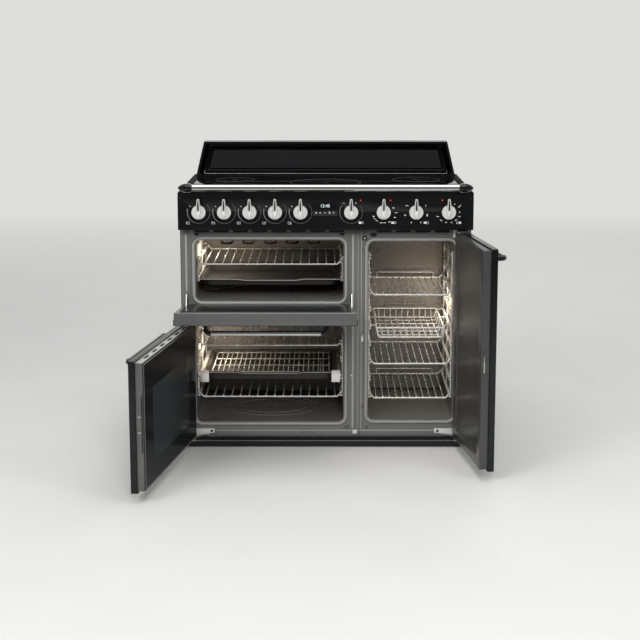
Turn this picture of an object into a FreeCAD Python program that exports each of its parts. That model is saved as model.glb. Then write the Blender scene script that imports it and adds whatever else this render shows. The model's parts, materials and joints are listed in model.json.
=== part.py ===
"""A 100 cm range cooker with two ovens on the left, a tall oven on the right and an induction hob.

Frame: millimetres, X to the right, Y to the rear, Z up. The origin is on the floor, under the
middle of the body. The doors are drawn closed and then swung open about their hinges.
"""

import FreeCAD, Part
import math
import os

import Sketcher
from FreeCAD import Placement, Rotation, Vector

# ---------------------------------------------------------------- driving dimensions

SIZES = [
    # body
    ("body_width", 1000, "control panel, end to end"),
    ("case_width", 998, "over the side panels"),
    ("body_depth", 600, "closed doors to back panel"),
    ("door_reach", 55, "oven front to outer face of a closed door"),
    ("sheet", 2, "folded sheet of the case"),
    ("worktop_height", 897, "top of the hob surround"),
    ("panel_low", 768, "bottom of the control panel"),
    ("panel_high", 895, "top of the control panel"),
    ("front_low", 28, "bottom of the oven fronts"),
    ("front_high", 790, "top of the oven fronts, behind the control panel"),
    ("front_split", 117.5, "seam between the two oven fronts, from the middle"),
    ("pan_height", 24, "underside of the base pan"),
    ("pan_lip", 20, "upstand round the base pan"),
    ("foot_radius", 22, "foot"),
    ("foot_stud_radius", 6, "threaded stud of a foot"),
    ("foot_pad", 12, "thickness of a foot's pad"),
    ("foot_inset", 70, "foot axis from the case corner"),
    ("plinth_setback", 20, "plinth behind the door faces"),
    ("plinth_inset", 9, "plinth in from the case sides"),
    ("plinth_flange", 60, "depth of the plinth's top flange"),
    # oven cavities
    ("left_cavity_left", -446, "upper cavity, left inner wall"),
    ("left_cavity_right", 62, "upper cavity, right inner wall"),
    ("upper_cavity_low", 514, "upper cavity floor"),
    ("upper_cavity_high", 724, "upper cavity ceiling"),
    ("main_cavity_left", -450, "main cavity, left inner wall"),
    ("main_cavity_low", 83, "main cavity floor"),
    ("main_cavity_high", 428, "main cavity ceiling"),
    ("tall_cavity_left", 148, "tall cavity, left inner wall"),
    ("tall_cavity_right", 443, "tall cavity, right inner wall"),
    ("tall_cavity_low", 90, "tall cavity floor"),
    ("tall_cavity_high", 720, "tall cavity ceiling"),
    ("cavity_depth", 420, "front of the oven fronts to a cavity's back wall"),
    ("cavity_wall", 1.5, "enamelled steel of a cavity"),
    ("cavity_corner", 20, "inside corner of a cavity"),
    ("seal_offset", 3, "cavity mouth to its seal"),
    ("seal_width", 10, "seal"),
    ("seal_height", 7.7, "seal, out of the oven front"),
    # vents
    ("vent_low", 752, "bottom of the vent slots in the oven fronts"),
    ("vent_height", 12, "vent slot"),
    ("vent_width", 52, "vent slot"),
    ("vent_pitch", 66, "vent slots"),
    ("left_vent_start", -450, "first slot over the left ovens"),
    ("left_vent_count", 8, "slots over the left ovens"),
    ("right_vent_start", 175, "first slot over the tall oven"),
    ("right_vent_count", 4, "slots over the tall oven"),
    # fans
    ("cover_gap", 24, "fan cover in front of the back wall"),
    ("cover_sheet", 1.5, "fan cover"),
    ("perforation_rings", 6, "rings of holes over a fan"),
    ("perforation_pitch", 12.5, "from ring to ring"),
    ("perforation_radius", 3, "hole over a fan"),
    ("outlet_radius", 3.5, "air outlet hole"),
    ("outlet_pitch", 21, "air outlet holes along a cover's side"),
    ("fan_radius", 72, "fan wheel"),
    ("fan_width", 13, "fan blades along the shaft"),
    ("fan_blades", 12, "blades"),
    ("shaft_radius", 4, "fan shaft"),
    ("running_clearance", 0.05, "shaft in its bore, on the radius"),
    ("motor_radius", 36, "fan motor"),
    ("motor_length", 46, "fan motor"),
    ("main_fan_z", 262, "axis of the main oven's fan"),
    ("tall_fan_z", 419, "axis of the tall oven's fan"),
    ("ring_radius", 88, "ring element round a fan"),
    ("element_radius", 3.5, "heating element tube"),
    ("grill_drop", 16, "grill element below the ceiling"),
    ("grill_pitch", 38, "between the runs of the grill element"),
    ("grill_runs", 10, "runs of the grill element"),
    ("grill_front", 40, "grill element behind the oven front"),
    ("grill_length", 300, "grill element, front to rear"),
    ("lamp_radius", 22, "lamp glass"),
    ("lamp_height", 4, "lamp glass into the cavity"),
    # side ladders and racks
    ("rung_radius", 2.5, "ladder wire"),
    ("rung_in", 7.5, "rung axis from the cavity wall"),
    ("post_in", 3, "ladder post axis from the cavity wall"),
    ("ladder_front", 20, "ladders behind the oven front"),
    ("ladder_length", 362, "rungs, front to rear"),
    ("rung_gap", 12, "between the rungs of a pair"),
    ("level_pitch", 61.5, "shelf levels"),
    ("upper_level", 593, "lowest shelf level of the upper oven"),
    ("main_level", 183, "lowest shelf level of the main oven"),
    ("tall_level", 178, "lowest shelf level of the tall oven"),
    ("upper_levels", 2, "shelf levels in the upper oven"),
    ("main_levels", 4, "shelf levels in the main oven"),
    ("tall_levels", 9, "shelf levels in the tall oven"),
    ("seat_gap", 0.3, "a shelf over the rung it rests on"),
    ("rail_radius", 3, "frame wire of a rack"),
    ("rail_in", 9.5, "rack rail axis from the cavity wall"),
    ("wire_radius", 1.75, "cross wire of a rack"),
    ("rack_front", 30, "front wire of a rack behind the oven front"),
    ("rack_depth", 350, "rack, front wire to rear wire"),
    ("rack_dip", 12, "rack surface below its side rails"),
    ("wire_pitch", 24, "cross wires of a tall oven rack"),
    ("wide_wire_pitch", 30, "cross wires of a wide rack"),
    ("weld", 0.8, "wires pressed together at a weld"),
    ("stop_height", 20, "raised stop at the rear of a rack"),
    ("basket_side", 20, "basket rim in from the rack rails"),
    ("basket_depth", 34, "basket rim to floor"),
    ("basket_rim_drop", 6, "basket rim below its rails"),
    # trays
    ("tray_sheet", 1.2, "enamelled tray"),
    ("tray_rim", 12, "rim of a tray"),
    ("tray_draft", 10, "a tray's floor in from its mouth, each side"),
    ("upper_tray_depth", 24, "roasting tray of the upper oven"),
    ("main_tray_depth", 30, "tray of the main oven"),
    ("main_tray_level", 252, "underside of the main tray's rim"),
    ("runner_width", 11, "each part of a telescopic runner"),
    ("runner_height", 16, "telescopic runner"),
    ("runner_gap", 0.4, "between the parts of a runner"),
    ("runner_end_width", 30, "end plate of a moving runner"),
    ("runner_end_height", 42, "end plate of a moving runner"),
    ("runner_end_sheet", 3, "end plate of a moving runner"),
    ("grid_height", 22, "trivet grid over the tray floor"),
    # doors
    ("door_low", 30, "bottom of the main and tall doors"),
    ("door_high", 757, "top of the flap and the tall door"),
    ("main_door_high", 447, "top of the main door"),
    ("flap_low", 457.5, "bottom of the flap"),
    ("door_left", -493, "left edge of the left doors"),
    ("door_width", 597, "left doors"),
    ("tall_door_left", 110, "left edge of the tall door"),
    ("tall_door_width", 387, "tall door"),
    ("skin_sheet", 3, "front plate of a door"),
    ("skin_depth", 20, "door skin, front to rear"),
    ("skin_return", 2, "returned edge of a door skin"),
    ("frame_inset", 4, "door frame in from its skin"),
    ("frame_depth", 23, "door frame"),
    ("frame_bar", 30, "width of a door frame's bars"),
    ("frame_step", 8, "bottom of a frame above the bottom of its skin"),
    ("glass_sheet", 4, "door glass"),
    ("glass_inset", 2, "inner glass in from the frame's edge"),
    ("window_margin", 95, "window of a door in from its sides"),
    ("window_low", 80, "window above the bottom of a door"),
    ("window_high", 100, "window below the top of a door"),
    ("flap_window_low", 62, "window above the bottom of the flap"),
    ("window_corner", 14, "corner of a window"),
    ("window_lap", 8, "outer glass behind the edge of its window"),
    ("liner_sheet", 2, "pressed liner of the tall door"),
    ("liner_emboss", 40, "embossed field in from the edge of the liner"),
    ("door_vent_width", 44, "vent slot in the top of a door frame"),
    ("door_vent_depth", 8, "vent slot in the top of a door frame"),
    ("door_vent_pitch", 84, "vent slots in the top of a door frame"),
    ("door_vents", 6, "vent slots in the top of a door frame"),
    # handles
    ("handle_radius", 7.5, "handle bar"),
    ("handle_reach", 28, "handle axis in front of a flap's face"),
    ("side_handle_reach", 37, "handle axis in front of a side door's face"),
    ("handle_drop", 38, "handle axis below the top of a door"),
    ("side_handle_drop", 28, "handle axis below the top of the main door"),
    ("handle_length", 353, "bar of the left doors' handles"),
    ("tall_handle_length", 246, "bar of the tall door's handle"),
    ("handle_end", 30, "bracket beyond each end of the bar"),
    ("handle_post", 16, "width of a bracket's foot"),
    # hinges and catches
    ("flap_hinge_y", -285, "hinge axis of the flap"),
    ("flap_hinge_z", 476, "hinge axis of the flap"),
    ("side_hinge_y", -287, "hinge axes of the side doors"),
    ("main_hinge_x", -483, "hinge axis of the main door"),
    ("tall_hinge_x", 478, "hinge axis of the tall door"),
    ("flap_open", 83.5, "angle of the open flap"),
    ("main_open", 100, "angle of the open main door"),
    ("tall_open", 98, "angle of the open tall door"),
    ("pin_radius", 4, "hinge pin"),
    ("pin_reach", 12, "hinge pin into the door"),
    ("arm_sheet", 3.3, "hinge arm"),
    ("arm_side", 9, "hinge arm round its pin"),
    ("arm_gap", 1.4, "hinge arm to the door"),
    ("hinge_plate_width", 65, "hinge plate on the oven front"),
    ("hinge_plate_height", 21, "hinge plate on the oven front"),
    ("hinge_head_width", 32, "upper hinge plate on the oven front"),
    ("ear_inset", 14, "flap hinge ear in from the edge of the flap"),
    ("ear_sheet", 4, "flap hinge ear"),
    ("ear_radius", 10, "flap hinge ear round its pin"),
    ("ear_low", 506, "bottom of the ear's foot on the oven front"),
    ("ear_high", 540, "top of the ear's foot on the oven front"),
    ("ear_clearance", 1.5, "beside the ear in the slot of the flap's frame"),
    ("catch_reach", 6, "door catch out of the oven front"),
    ("main_catch_x", 91, "catch of the main door"),
    ("main_catch_z", 250, "catch of the main door"),
    ("tall_catch_x", 127, "catch of the tall door"),
    ("tall_catch_z", 385, "catch of the tall door"),
    ("roller_radius", 3, "catch roller on the edge of a door"),
    ("roller_spread", 50, "between the two rollers"),
    # control panel and knobs
    ("step_height", 19, "panel's upper step, down from its top"),
    ("step_in", 3, "panel's upper step, behind its face"),
    ("knob_z", 829, "knob axes"),
    ("hob_knob_start", -429, "first of the row of five knobs"),
    ("hob_knob_pitch", 86, "row of five knobs"),
    ("oven_knob_start", 86, "first of the row of four knobs"),
    ("oven_knob_pitch", 110, "row of four knobs"),
    ("knob_radius", 23.5, "knob disc"),
    ("knob_disc", 10, "knob disc, front to rear"),
    ("knob_gap", 1, "knob off the panel"),
    ("knob_crown", 6, "raised middle of a knob"),
    ("knob_crown_radius", 18, "raised middle of a knob"),
    ("lever_tip", 43, "tip centre of a knob's lever above its axis"),
    ("lever_tip_radius", 3.6, "tip of the lever"),
    ("lever_heel", 7, "heel of the lever below the axis"),
    ("lever_heel_radius", 8, "heel of the lever"),
    ("lever_depth", 16, "lever, front to rear"),
    ("spindle_radius", 4, "knob spindle"),
    ("spindle_length", 26, "knob spindle behind the panel face"),
    ("spindle_clearance", 1, "spindle in the panel's hole, on the radius"),
    ("switch_side", 36, "switch body"),
    ("switch_depth", 34, "switch body"),
    ("clock_width", 84, "clock window"),
    ("clock_low", 817, "bottom of the clock window"),
    ("clock_height", 48, "clock window"),
    ("clock_x", -2, "middle of the clock window"),
    ("clock_sheet", 3, "clock window"),
    ("clock_module", 30, "clock module behind its window"),
    # hob
    ("hob_sheet", 30, "depth of the hob surround"),
    ("glass_width", 936, "hob glass"),
    ("glass_front", -238, "front edge of the hob glass"),
    ("glass_rear", 216, "rear edge of the hob glass"),
    ("hob_glass_sheet", 4, "hob glass"),
    ("glass_recess", 2.5, "hob glass let into its surround"),
    ("glass_ledge", 26, "ledge under the edge of the hob glass"),
    ("glass_fit", 0.5, "round the hob glass in its recess"),
    ("coil_tray", 2, "tray under the coils"),
    ("coil_height", 9, "induction coil"),
    ("coil_gap", 3, "coils below the glass"),
    # front bar
    ("bar_radius", 11.5, "front bar"),
    ("bar_length", 886, "front bar between its end caps"),
    ("bar_y", -330, "front bar axis"),
    ("bar_z", 914, "front bar axis"),
    ("cap_length", 52, "end cap along the bar"),
    ("cap_height", 31, "end cap"),
    ("cap_depth", 29, "end cap, front to rear"),
    ("cap_foot", 20, "width of an end cap's foot"),
    ("cap_foot_rear", -268, "rear of an end cap's foot"),
    # splashback
    ("back_front", 226, "front of the splashback at the worktop"),
    ("back_lean", 10, "its top behind its bottom"),
    ("back_height", 128, "splashback above the worktop"),
    ("back_width", 970, "splashback at the worktop"),
    ("back_top_width", 910, "splashback at its top"),
    ("field_low", 14, "raised field above the worktop"),
    ("field_high", 16, "raised field below the top"),
    ("field_side", 28, "raised field in from the sides"),
    ("field_height", 2.5, "raised field, out of the splashback"),
    ("inlet_radius", 14, "cable inlet in the back panel"),
    ("inlet_x", 380, "cable inlet"),
    ("inlet_z", 120, "cable inlet"),
    ("slot_rows", 5, "cooling slots in the back panel"),
]


class Size:
    """A length together with the spreadsheet expression that gives it."""

    def __init__(self, value, text):
        self.value = float(value)
        self.text = text

    def __float__(self):
        return self.value

    def __add__(self, other):
        other = sized(other)
        return Size(self.value + other.value, f"({self.text} + {other.text})")

    def __sub__(self, other):
        other = sized(other)
        return Size(self.value - other.value, f"({self.text} - {other.text})")

    def __mul__(self, other):
        other = sized(other)
        return Size(self.value * other.value, f"({self.text} * {other.text})")

    def __truediv__(self, other):
        other = sized(other)
        return Size(self.value / other.value, f"({self.text} / {other.text})")

    def __radd__(self, other):
        return sized(other) + self

    def __rsub__(self, other):
        return sized(other) - self

    def __rmul__(self, other):
        return sized(other) * self

    def __neg__(self):
        return Size(-self.value, f"(-{self.text})")


def sized(value):
    """A Size from a Size or a plain number."""
    return value if isinstance(value, Size) else Size(value, f"({float(value)})")


def cosine(angle):
    """Cosine of a Size in degrees."""
    return Size(math.cos(math.radians(angle.value)), f"cos({angle.text} * 1 deg)")


def sine(angle):
    """Sine of a Size in degrees."""
    return Size(math.sin(math.radians(angle.value)), f"sin({angle.text} * 1 deg)")


DOC = FreeCAD.newDocument("range_cooker")
SHEET = DOC.addObject("Spreadsheet::Sheet", "sizes")
S = {}
for row, (alias, length, purpose) in enumerate(SIZES, start=1):
    SHEET.set(f"A{row}", alias)
    SHEET.set(f"B{row}", str(length))
    SHEET.set(f"C{row}", purpose)
    SHEET.setAlias(f"B{row}", alias)
    S[alias] = Size(length, f"sizes.{alias}")
DOC.recompute()

NODES = []


def node(item, name):
    """Name a finished sub-part, which is then written to a file of that name."""
    item.Label = name
    NODES.append(item)
    return item


# ---------------------------------------------------------------- modelling helpers


def bind(item, prop, value):
    """Tie a property to its spreadsheet expression."""
    item.setExpression(prop, sized(value).text)


def add(kind, **properties):
    """A new document object with its properties tied to the sheet."""
    item = DOC.addObject(kind, "piece")
    for prop, value in properties.items():
        bind(item, prop, value)
    return item


def put(item, x, y, z, rotation=None):
    """Place an object, with its position tied to the sheet."""
    if rotation is not None:
        item.Placement = Placement(Vector(), rotation)
    for axis, value in zip("xyz", (x, y, z)):
        bind(item, f"Placement.Base.{axis}", value)
    return item


def box(x0, x1, y0, y1, z0, z1):
    """A box between two limits on each axis."""
    item = add("Part::Box", Length=sized(x1) - x0, Width=sized(y1) - y0, Height=sized(z1) - z0)
    return put(item, x0, y0, z0)


AXES = {"x": Rotation(Vector(0, 1, 0), 90), "y": Rotation(Vector(1, 0, 0), -90), "z": Rotation()}


def cylinder(axis, across, radius, start, end):
    """A cylinder along an axis; across holds its two other coordinates, in X, Y, Z order."""
    item = add("Part::Cylinder", Radius=radius, Height=sized(end) - start)
    first, second = across
    base = {"x": (start, first, second), "y": (first, start, second), "z": (first, second, start)}
    return put(item, *base[axis], AXES[axis])


def frustum(low, high, z0, z1):
    """A box that tapers upwards; low and high are its X and Y limits at z0 and at z1."""
    item = add("Part::Wedge", Ymin=z0, Ymax=z1)
    for prop, (x0, x1, y0, y1) in (("", low), ("2", high)):
        bind(item, f"X{prop}min", x0)
        bind(item, f"X{prop}max", x1)
        bind(item, f"Z{prop}min", -sized(y1))
        bind(item, f"Z{prop}max", -sized(y0))
    item.Placement = Placement(Vector(), Rotation(Vector(1, 0, 0), 90))
    return item


def cut(base, *tools):
    """One object with others taken away."""
    tool = tools[0] if len(tools) == 1 else fuse(*tools)
    item = DOC.addObject("Part::Cut", "cut")
    item.Base = base
    item.Tool = tool
    return item


def fuse(*items):
    """Several objects joined to one."""
    item = DOC.addObject("Part::MultiFuse", "join")
    item.Shapes = list(items)
    return item


def gather(*items):
    """Several separate solids of one sub-part."""
    item = DOC.addObject("Part::Compound", "set")
    item.Links = list(items)
    return item


def solid(shape):
    """A shape made with Part's own functions, as an object of the document."""
    item = DOC.addObject("Part::Feature", "shape")
    item.Shape = shape
    return item


def constrain(sketch, constraint, value):
    """Add a dimension to a sketch and tie it to the sheet."""
    index = sketch.addConstraint(constraint)
    bind(sketch, f"Constraints[{index}]", value)


def draw_outline(sketch, outline):
    """A rectangle with round corners: left, right, low, high and corner radius."""
    left, right, low, high, corner = (sized(v) for v in outline)
    x0, x1, z0, z1, r = (v.value for v in (left, right, low, high, corner))
    first = sketch.GeometryCount
    turns = [(x1 - r, z0 + r, -90), (x1 - r, z1 - r, 0), (x0 + r, z1 - r, 90), (x0 + r, z0 + r, 180)]
    ends = [(x0 + r, z0), (x1 - r, z0), (x1, z0 + r), (x1, z1 - r)]
    ends += [(x1 - r, z1), (x0 + r, z1), (x0, z1 - r), (x0, z0 + r)]
    for k, (cx, cz, start) in enumerate(turns):
        line = Part.LineSegment(Vector(*ends[2 * k], 0), Vector(*ends[2 * k + 1], 0))
        circle = Part.Circle(Vector(cx, cz, 0), Vector(0, 0, 1), r)
        arc = Part.ArcOfCircle(circle, math.radians(start), math.radians(start + 90))
        sketch.addGeometry([line, arc], False)
    rules = [Sketcher.Constraint("Tangent", first + k, 2, first + (k + 1) % 8, 1) for k in range(8)]
    rules += [Sketcher.Constraint("Horizontal", first + k) for k in (0, 4)]
    rules += [Sketcher.Constraint("Vertical", first + k) for k in (2, 6)]
    rules += [Sketcher.Constraint("Equal", first + 1, first + k) for k in (3, 5, 7)]
    sketch.addConstraint(rules)
    constrain(sketch, Sketcher.Constraint("Radius", first + 1, r), corner)
    sides = [("DistanceX", 6, x0, left), ("DistanceX", 2, x1, right)]
    sides += [("DistanceY", 0, z0, low), ("DistanceY", 4, z1, high)]
    for kind, line, value, tied in sides:
        constrain(sketch, Sketcher.Constraint(kind, -1, 1, first + line, 1, value), tied)


def draw_circle(sketch, x, z, radius):
    """A circle in a sketch, with its centre and radius tied to the sheet."""
    x, z, radius = sized(x), sized(z), sized(radius)
    centre = Vector(x.value, z.value, 0)
    index = sketch.addGeometry(Part.Circle(centre, Vector(0, 0, 1), radius.value), False)
    constrain(sketch, Sketcher.Constraint("Radius", index, radius.value), radius)
    constrain(sketch, Sketcher.Constraint("DistanceX", -1, 1, index, 3, x.value), x)
    constrain(sketch, Sketcher.Constraint("DistanceY", -1, 1, index, 3, z.value), z)


def pressed(*layers):
    """A body of upright plates one behind another: (outline, front, rear, windows, circles)."""
    body = DOC.addObject("PartDesign::Body", "body")
    upright = next(f for f in body.Origin.OriginFeatures if f.Role == "XZ_Plane")
    for outline, front, rear, windows, circles in layers:
        sketch = body.newObject("Sketcher::SketchObject", "sketch")
        sketch.AttachmentSupport = (upright, [""])
        sketch.MapMode = "FlatFace"
        bind(sketch, "AttachmentOffset.Base.z", -sized(rear))
        draw_outline(sketch, outline)
        for window in windows:
            draw_outline(sketch, window)
        for circle in circles:
            draw_circle(sketch, *circle)
        pad = body.newObject("PartDesign::Pad", "pad")
        pad.Profile = sketch
        bind(pad, "Length", sized(rear) - front)
    return body


def grown(outline, by):
    """An outline moved outwards on every side."""
    left, right, low, high, corner = outline
    return left - by, right + by, low - by, high + by, corner + by


def rod(start, end, radius):
    """A straight round wire."""
    start, end = Vector(*start), Vector(*end)
    return Part.makeCylinder(radius, (end - start).Length, start, end - start)


def bent_rod(points, bend, radius):
    """A round wire through points, with an arc of radius bend at each corner."""
    points = [Vector(*p) for p in points]
    edges = []
    here = points[0]
    for before, corner, after in zip(points, points[1:], points[2:]):
        come = (before - corner).normalize()
        go = (after - corner).normalize()
        half = come.getAngle(go) / 2
        reach = bend / math.tan(half)
        middle = corner + (come + go).normalize() * (bend / math.sin(half) - bend)
        edges.append(Part.LineSegment(here, corner + come * reach).toShape())
        edges.append(Part.Arc(corner + come * reach, middle, corner + go * reach).toShape())
        here = corner + go * reach
    edges.append(Part.LineSegment(here, points[-1]).toShape())
    circle = Part.Circle(points[0], points[1] - points[0], radius).toShape()
    return Part.Wire(edges).makePipeShell([Part.Wire(circle)], True, False)


def welded(shapes):
    """Wires joined to one solid."""
    return shapes[0].fuse(shapes[1:]).removeSplitter()


def spread(start, end, pitch):
    """Even places between two limits, as near to a pitch as fits."""
    count = max(1, round((end - start) / pitch))
    return [start + (end - start) * k / count for k in range(count + 1)]


def swing(item, axis, hinge, angle):
    """Turn a closed door piece about its hinge; hinge holds the two coordinates across the axis."""
    a, b = hinge
    c, s = cosine(angle), sine(angle)
    away = (a - (a * c - b * s), b - (a * s + b * c))
    item.Placement = Placement(Vector(), Rotation(axis, angle.value))
    bind(item, "Placement.Rotation.Angle", Size(angle.value, f"{angle.text} * 1 deg"))
    bases = "yz" if axis.x else "xy"
    for name, value in zip(bases, away):
        bind(item, f"Placement.Base.{name}", value)
    return item


# ---------------------------------------------------------------- places worked out once

DOOR_FACE = -S["body_depth"] / 2
OVEN_FRONT = DOOR_FACE + S["door_reach"]
OVEN_FRONT_REAR = OVEN_FRONT + S["sheet"]
CASE_REAR = S["body_depth"] / 2
BACK_INSIDE = CASE_REAR - S["sheet"]
CASE_SIDE = S["case_width"] / 2
CASE_INSIDE = CASE_SIDE - S["sheet"]
CAVITY_REAR = OVEN_FRONT + S["cavity_depth"]
COVER_FRONT = CAVITY_REAR - S["cover_gap"]
LEFT_MIDDLE = S["door_left"] + S["door_width"] / 2
TALL_MIDDLE = S["tall_door_left"] + S["tall_door_width"] / 2
LADDER_START = OVEN_FRONT + S["ladder_front"]
LADDER_END = LADDER_START + S["ladder_length"]
RACK_START = OVEN_FRONT + S["rack_front"]
RACK_END = RACK_START + S["rack_depth"]

UPPER_MOUTH = (
    S["left_cavity_left"],
    S["left_cavity_right"],
    S["upper_cavity_low"],
    S["upper_cavity_high"],
    S["cavity_corner"],
)
MAIN_MOUTH = (
    S["main_cavity_left"],
    S["left_cavity_right"],
    S["main_cavity_low"],
    S["main_cavity_high"],
    S["cavity_corner"],
)
TALL_MOUTH = (
    S["tall_cavity_left"],
    S["tall_cavity_right"],
    S["tall_cavity_low"],
    S["tall_cavity_high"],
    S["cavity_corner"],
)
MAIN_FAN = ((S["main_cavity_left"] + S["left_cavity_right"]) / 2, S["main_fan_z"])
TALL_FAN = ((S["tall_cavity_left"] + S["tall_cavity_right"]) / 2, S["tall_fan_z"])
SQUARE = 0.5  # corner of a sheared sheet


# ---------------------------------------------------------------- case


def make_base_pan():
    """Folded pan that carries the ovens, with an upstand all round."""
    low = S["pan_height"]
    outer = box(-CASE_INSIDE, CASE_INSIDE, OVEN_FRONT_REAR, BACK_INSIDE, low, low + S["pan_lip"])
    t = S["sheet"]
    hollow = box(
        t - CASE_INSIDE,
        CASE_INSIDE - t,
        OVEN_FRONT_REAR + t,
        BACK_INSIDE - t,
        low + t,
        low + S["pan_lip"] + t,
    )
    node(cut(outer, hollow), "base_pan")


def make_feet():
    """Four feet: a round pad on a threaded stud."""
    feet = []
    inset = S["foot_inset"]
    for x in (inset - CASE_SIDE, CASE_SIDE - inset):
        for y in (OVEN_FRONT + inset, CASE_REAR - inset):
            pad = cylinder("z", (x, y), S["foot_radius"], 0, S["foot_pad"])
            stud = cylinder("z", (x, y), S["foot_stud_radius"], 0, S["pan_height"])
            feet.append(fuse(pad, stud))
    node(gather(*feet), "feet")


def make_plinth():
    """Plinth: a front strip, two side strips and a flange under the base pan."""
    side = CASE_SIDE - S["plinth_inset"]
    front = DOOR_FACE + S["plinth_setback"]
    t = S["sheet"]
    top = S["pan_height"]
    strip = box(-side, side, front, front + t, t, top)
    flange = box(-side, side, front, front + S["plinth_flange"], top - t, top)
    left = box(-side, t - side, front, BACK_INSIDE, t, top)
    right = box(side - t, side, front, BACK_INSIDE, t, top)
    node(fuse(strip, flange, left, right), "plinth")


def make_side_panels():
    """Two flat side panels, from the base pan to the hob surround."""
    top = S["worktop_height"] - S["hob_sheet"]
    panels = []
    for near, far in ((-CASE_SIDE, -CASE_INSIDE), (CASE_INSIDE, CASE_SIDE)):
        panels.append(box(near, far, OVEN_FRONT, CASE_REAR, S["pan_height"], top))
    node(gather(*panels), "side_panels")


def make_back_panel():
    """Back panel with two fields of cooling slots and the cable inlet."""
    top = S["worktop_height"] - S["hob_sheet"]
    slots = []
    for middle in (LEFT_MIDDLE, TALL_MIDDLE):
        for row in range(int(S["slot_rows"].value)):
            z = top - 60 - row * 24
            slots.append((middle - 60, middle + 60, z, z + 8, 3.5))
    outline = (-CASE_INSIDE, CASE_INSIDE, S["pan_height"], top, SQUARE)
    inlet = (S["inlet_x"], S["inlet_z"], S["inlet_radius"])
    node(pressed((outline, BACK_INSIDE, CASE_REAR, slots, [inlet])), "back_panel")


def vent_slots(start, count):
    """A row of vent slots with round ends."""
    slots = []
    for k in range(int(count.value)):
        left = start + S["vent_pitch"] * k
        right = left + S["vent_width"]
        high = S["vent_low"] + S["vent_height"]
        slots.append((left, right, S["vent_low"], high, S["vent_height"] * 0.4))
    return slots


def make_oven_fronts():
    """The enamelled fronts round the oven mouths: one for the left pair, one for the tall oven."""
    wall = S["cavity_wall"]
    t = S["sheet"]
    seam = S["front_split"]
    fronts = [
        (
            "front_left",
            -CASE_INSIDE,
            seam,
            (UPPER_MOUTH, MAIN_MOUTH),
            vent_slots(S["left_vent_start"], S["left_vent_count"]),
        ),
        (
            "front_right",
            seam,
            CASE_INSIDE,
            (TALL_MOUTH,),
            vent_slots(S["right_vent_start"], S["right_vent_count"]),
        ),
    ]
    for name, left, right, mouths, slots in fronts:
        openings = [grown(mouth, wall) for mouth in mouths] + slots
        outline = (left, right, S["front_low"], S["front_high"], SQUARE)
        plate = pressed((outline, OVEN_FRONT, OVEN_FRONT_REAR, openings, []))
        low = S["pan_height"] + S["pan_lip"]
        edges = []
        for x in (left, right - t):
            edges.append(
                box(x, x + t, OVEN_FRONT_REAR, OVEN_FRONT_REAR + 20, low, S["front_high"])
            )
        node(fuse(plate, *edges), name)


def make_cavity(name, mouth, fan=None):
    """One oven box: a wrap with round corners and a flat back, open at the front."""
    wall = S["cavity_wall"]
    outside = grown(mouth, wall)
    holes = []
    if fan:
        holes.append((fan[0], fan[1], S["shaft_radius"] + 3))
    wrap = (outside, OVEN_FRONT, CAVITY_REAR, [mouth], [])
    back = (outside, CAVITY_REAR, CAVITY_REAR + wall, [], holes)
    node(pressed(wrap, back), name)


def make_seals():
    """A raised rope seal round each oven mouth."""
    seals = []
    for mouth in (UPPER_MOUTH, MAIN_MOUTH, TALL_MOUTH):
        inside = grown(mouth, S["cavity_wall"] + S["seal_offset"])
        ring = (grown(inside, S["seal_width"]), OVEN_FRONT - S["seal_height"], OVEN_FRONT)
        seals.append(pressed((*ring, [inside], [])))
    node(gather(*seals), "door_seals")


# ---------------------------------------------------------------- inside the ovens


def perforations(fan):
    """Rings of holes in front of a fan, as one shape to cut with."""
    radius = S["perforation_radius"].value
    pitch = S["perforation_pitch"].value
    front = COVER_FRONT.value - 1
    depth = S["cover_sheet"].value + 2
    x, z = fan[0].value, fan[1].value
    holes = [Part.makeCylinder(radius, depth, Vector(x, front, z), Vector(0, 1, 0))]
    for ring in range(1, int(S["perforation_rings"].value) + 1):
        for k in range(6 * ring):
            turn = math.tau * k / (6 * ring)
            place = Vector(x + ring * pitch * math.cos(turn), front, z + ring * pitch * math.sin(turn))
            holes.append(Part.makeCylinder(radius, depth, place, Vector(0, 1, 0)))
    return holes


def outlets(mouth, low, high):
    """Air outlet holes up both sides of a fan cover and along its foot."""
    radius = S["outlet_radius"].value
    pitch = S["outlet_pitch"].value
    front = COVER_FRONT.value - 1
    depth = S["cover_sheet"].value + 2
    margin = S["cavity_corner"].value
    left, right = mouth[0].value + margin, mouth[1].value - margin
    places = [(x, z) for x in (left, right) for z in spread(low, high, pitch)]
    places += [(x, low) for x in spread(left + 2 * pitch, right - 2 * pitch, 2 * pitch)]
    return [
        Part.makeCylinder(radius, depth, Vector(x, front, z), Vector(0, 1, 0)) for x, z in places
    ]


def make_fan_covers():
    """Flat enamelled covers in front of the main and the tall oven's fans."""
    covers = []
    for mouth, fan, low, high in (
        (MAIN_MOUTH, MAIN_FAN, 40, -40),
        (TALL_MOUTH, TALL_FAN, 118, -83),
    ):
        margin = S["cavity_corner"] / 2
        outline = (
            mouth[0] + margin,
            mouth[1] - margin,
            mouth[2] + margin,
            mouth[3] - margin,
            S["cavity_corner"],
        )
        plate = pressed((outline, COVER_FRONT, COVER_FRONT + S["cover_sheet"], [], []))
        spacers = []
        for x in (outline[0] + 12, outline[1] - 12):
            for z in (outline[2] + 12, outline[3] - 12):
                start = COVER_FRONT + S["cover_sheet"]
                spacers.append(cylinder("y", (x, z), 4, start, CAVITY_REAR))
        holes = perforations(fan) + outlets(mouth, mouth[2].value + low, mouth[3].value + high)
        covers.append(cut(fuse(plate, *spacers), solid(Part.makeCompound(holes))))
    node(gather(*covers), "fan_covers")


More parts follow.
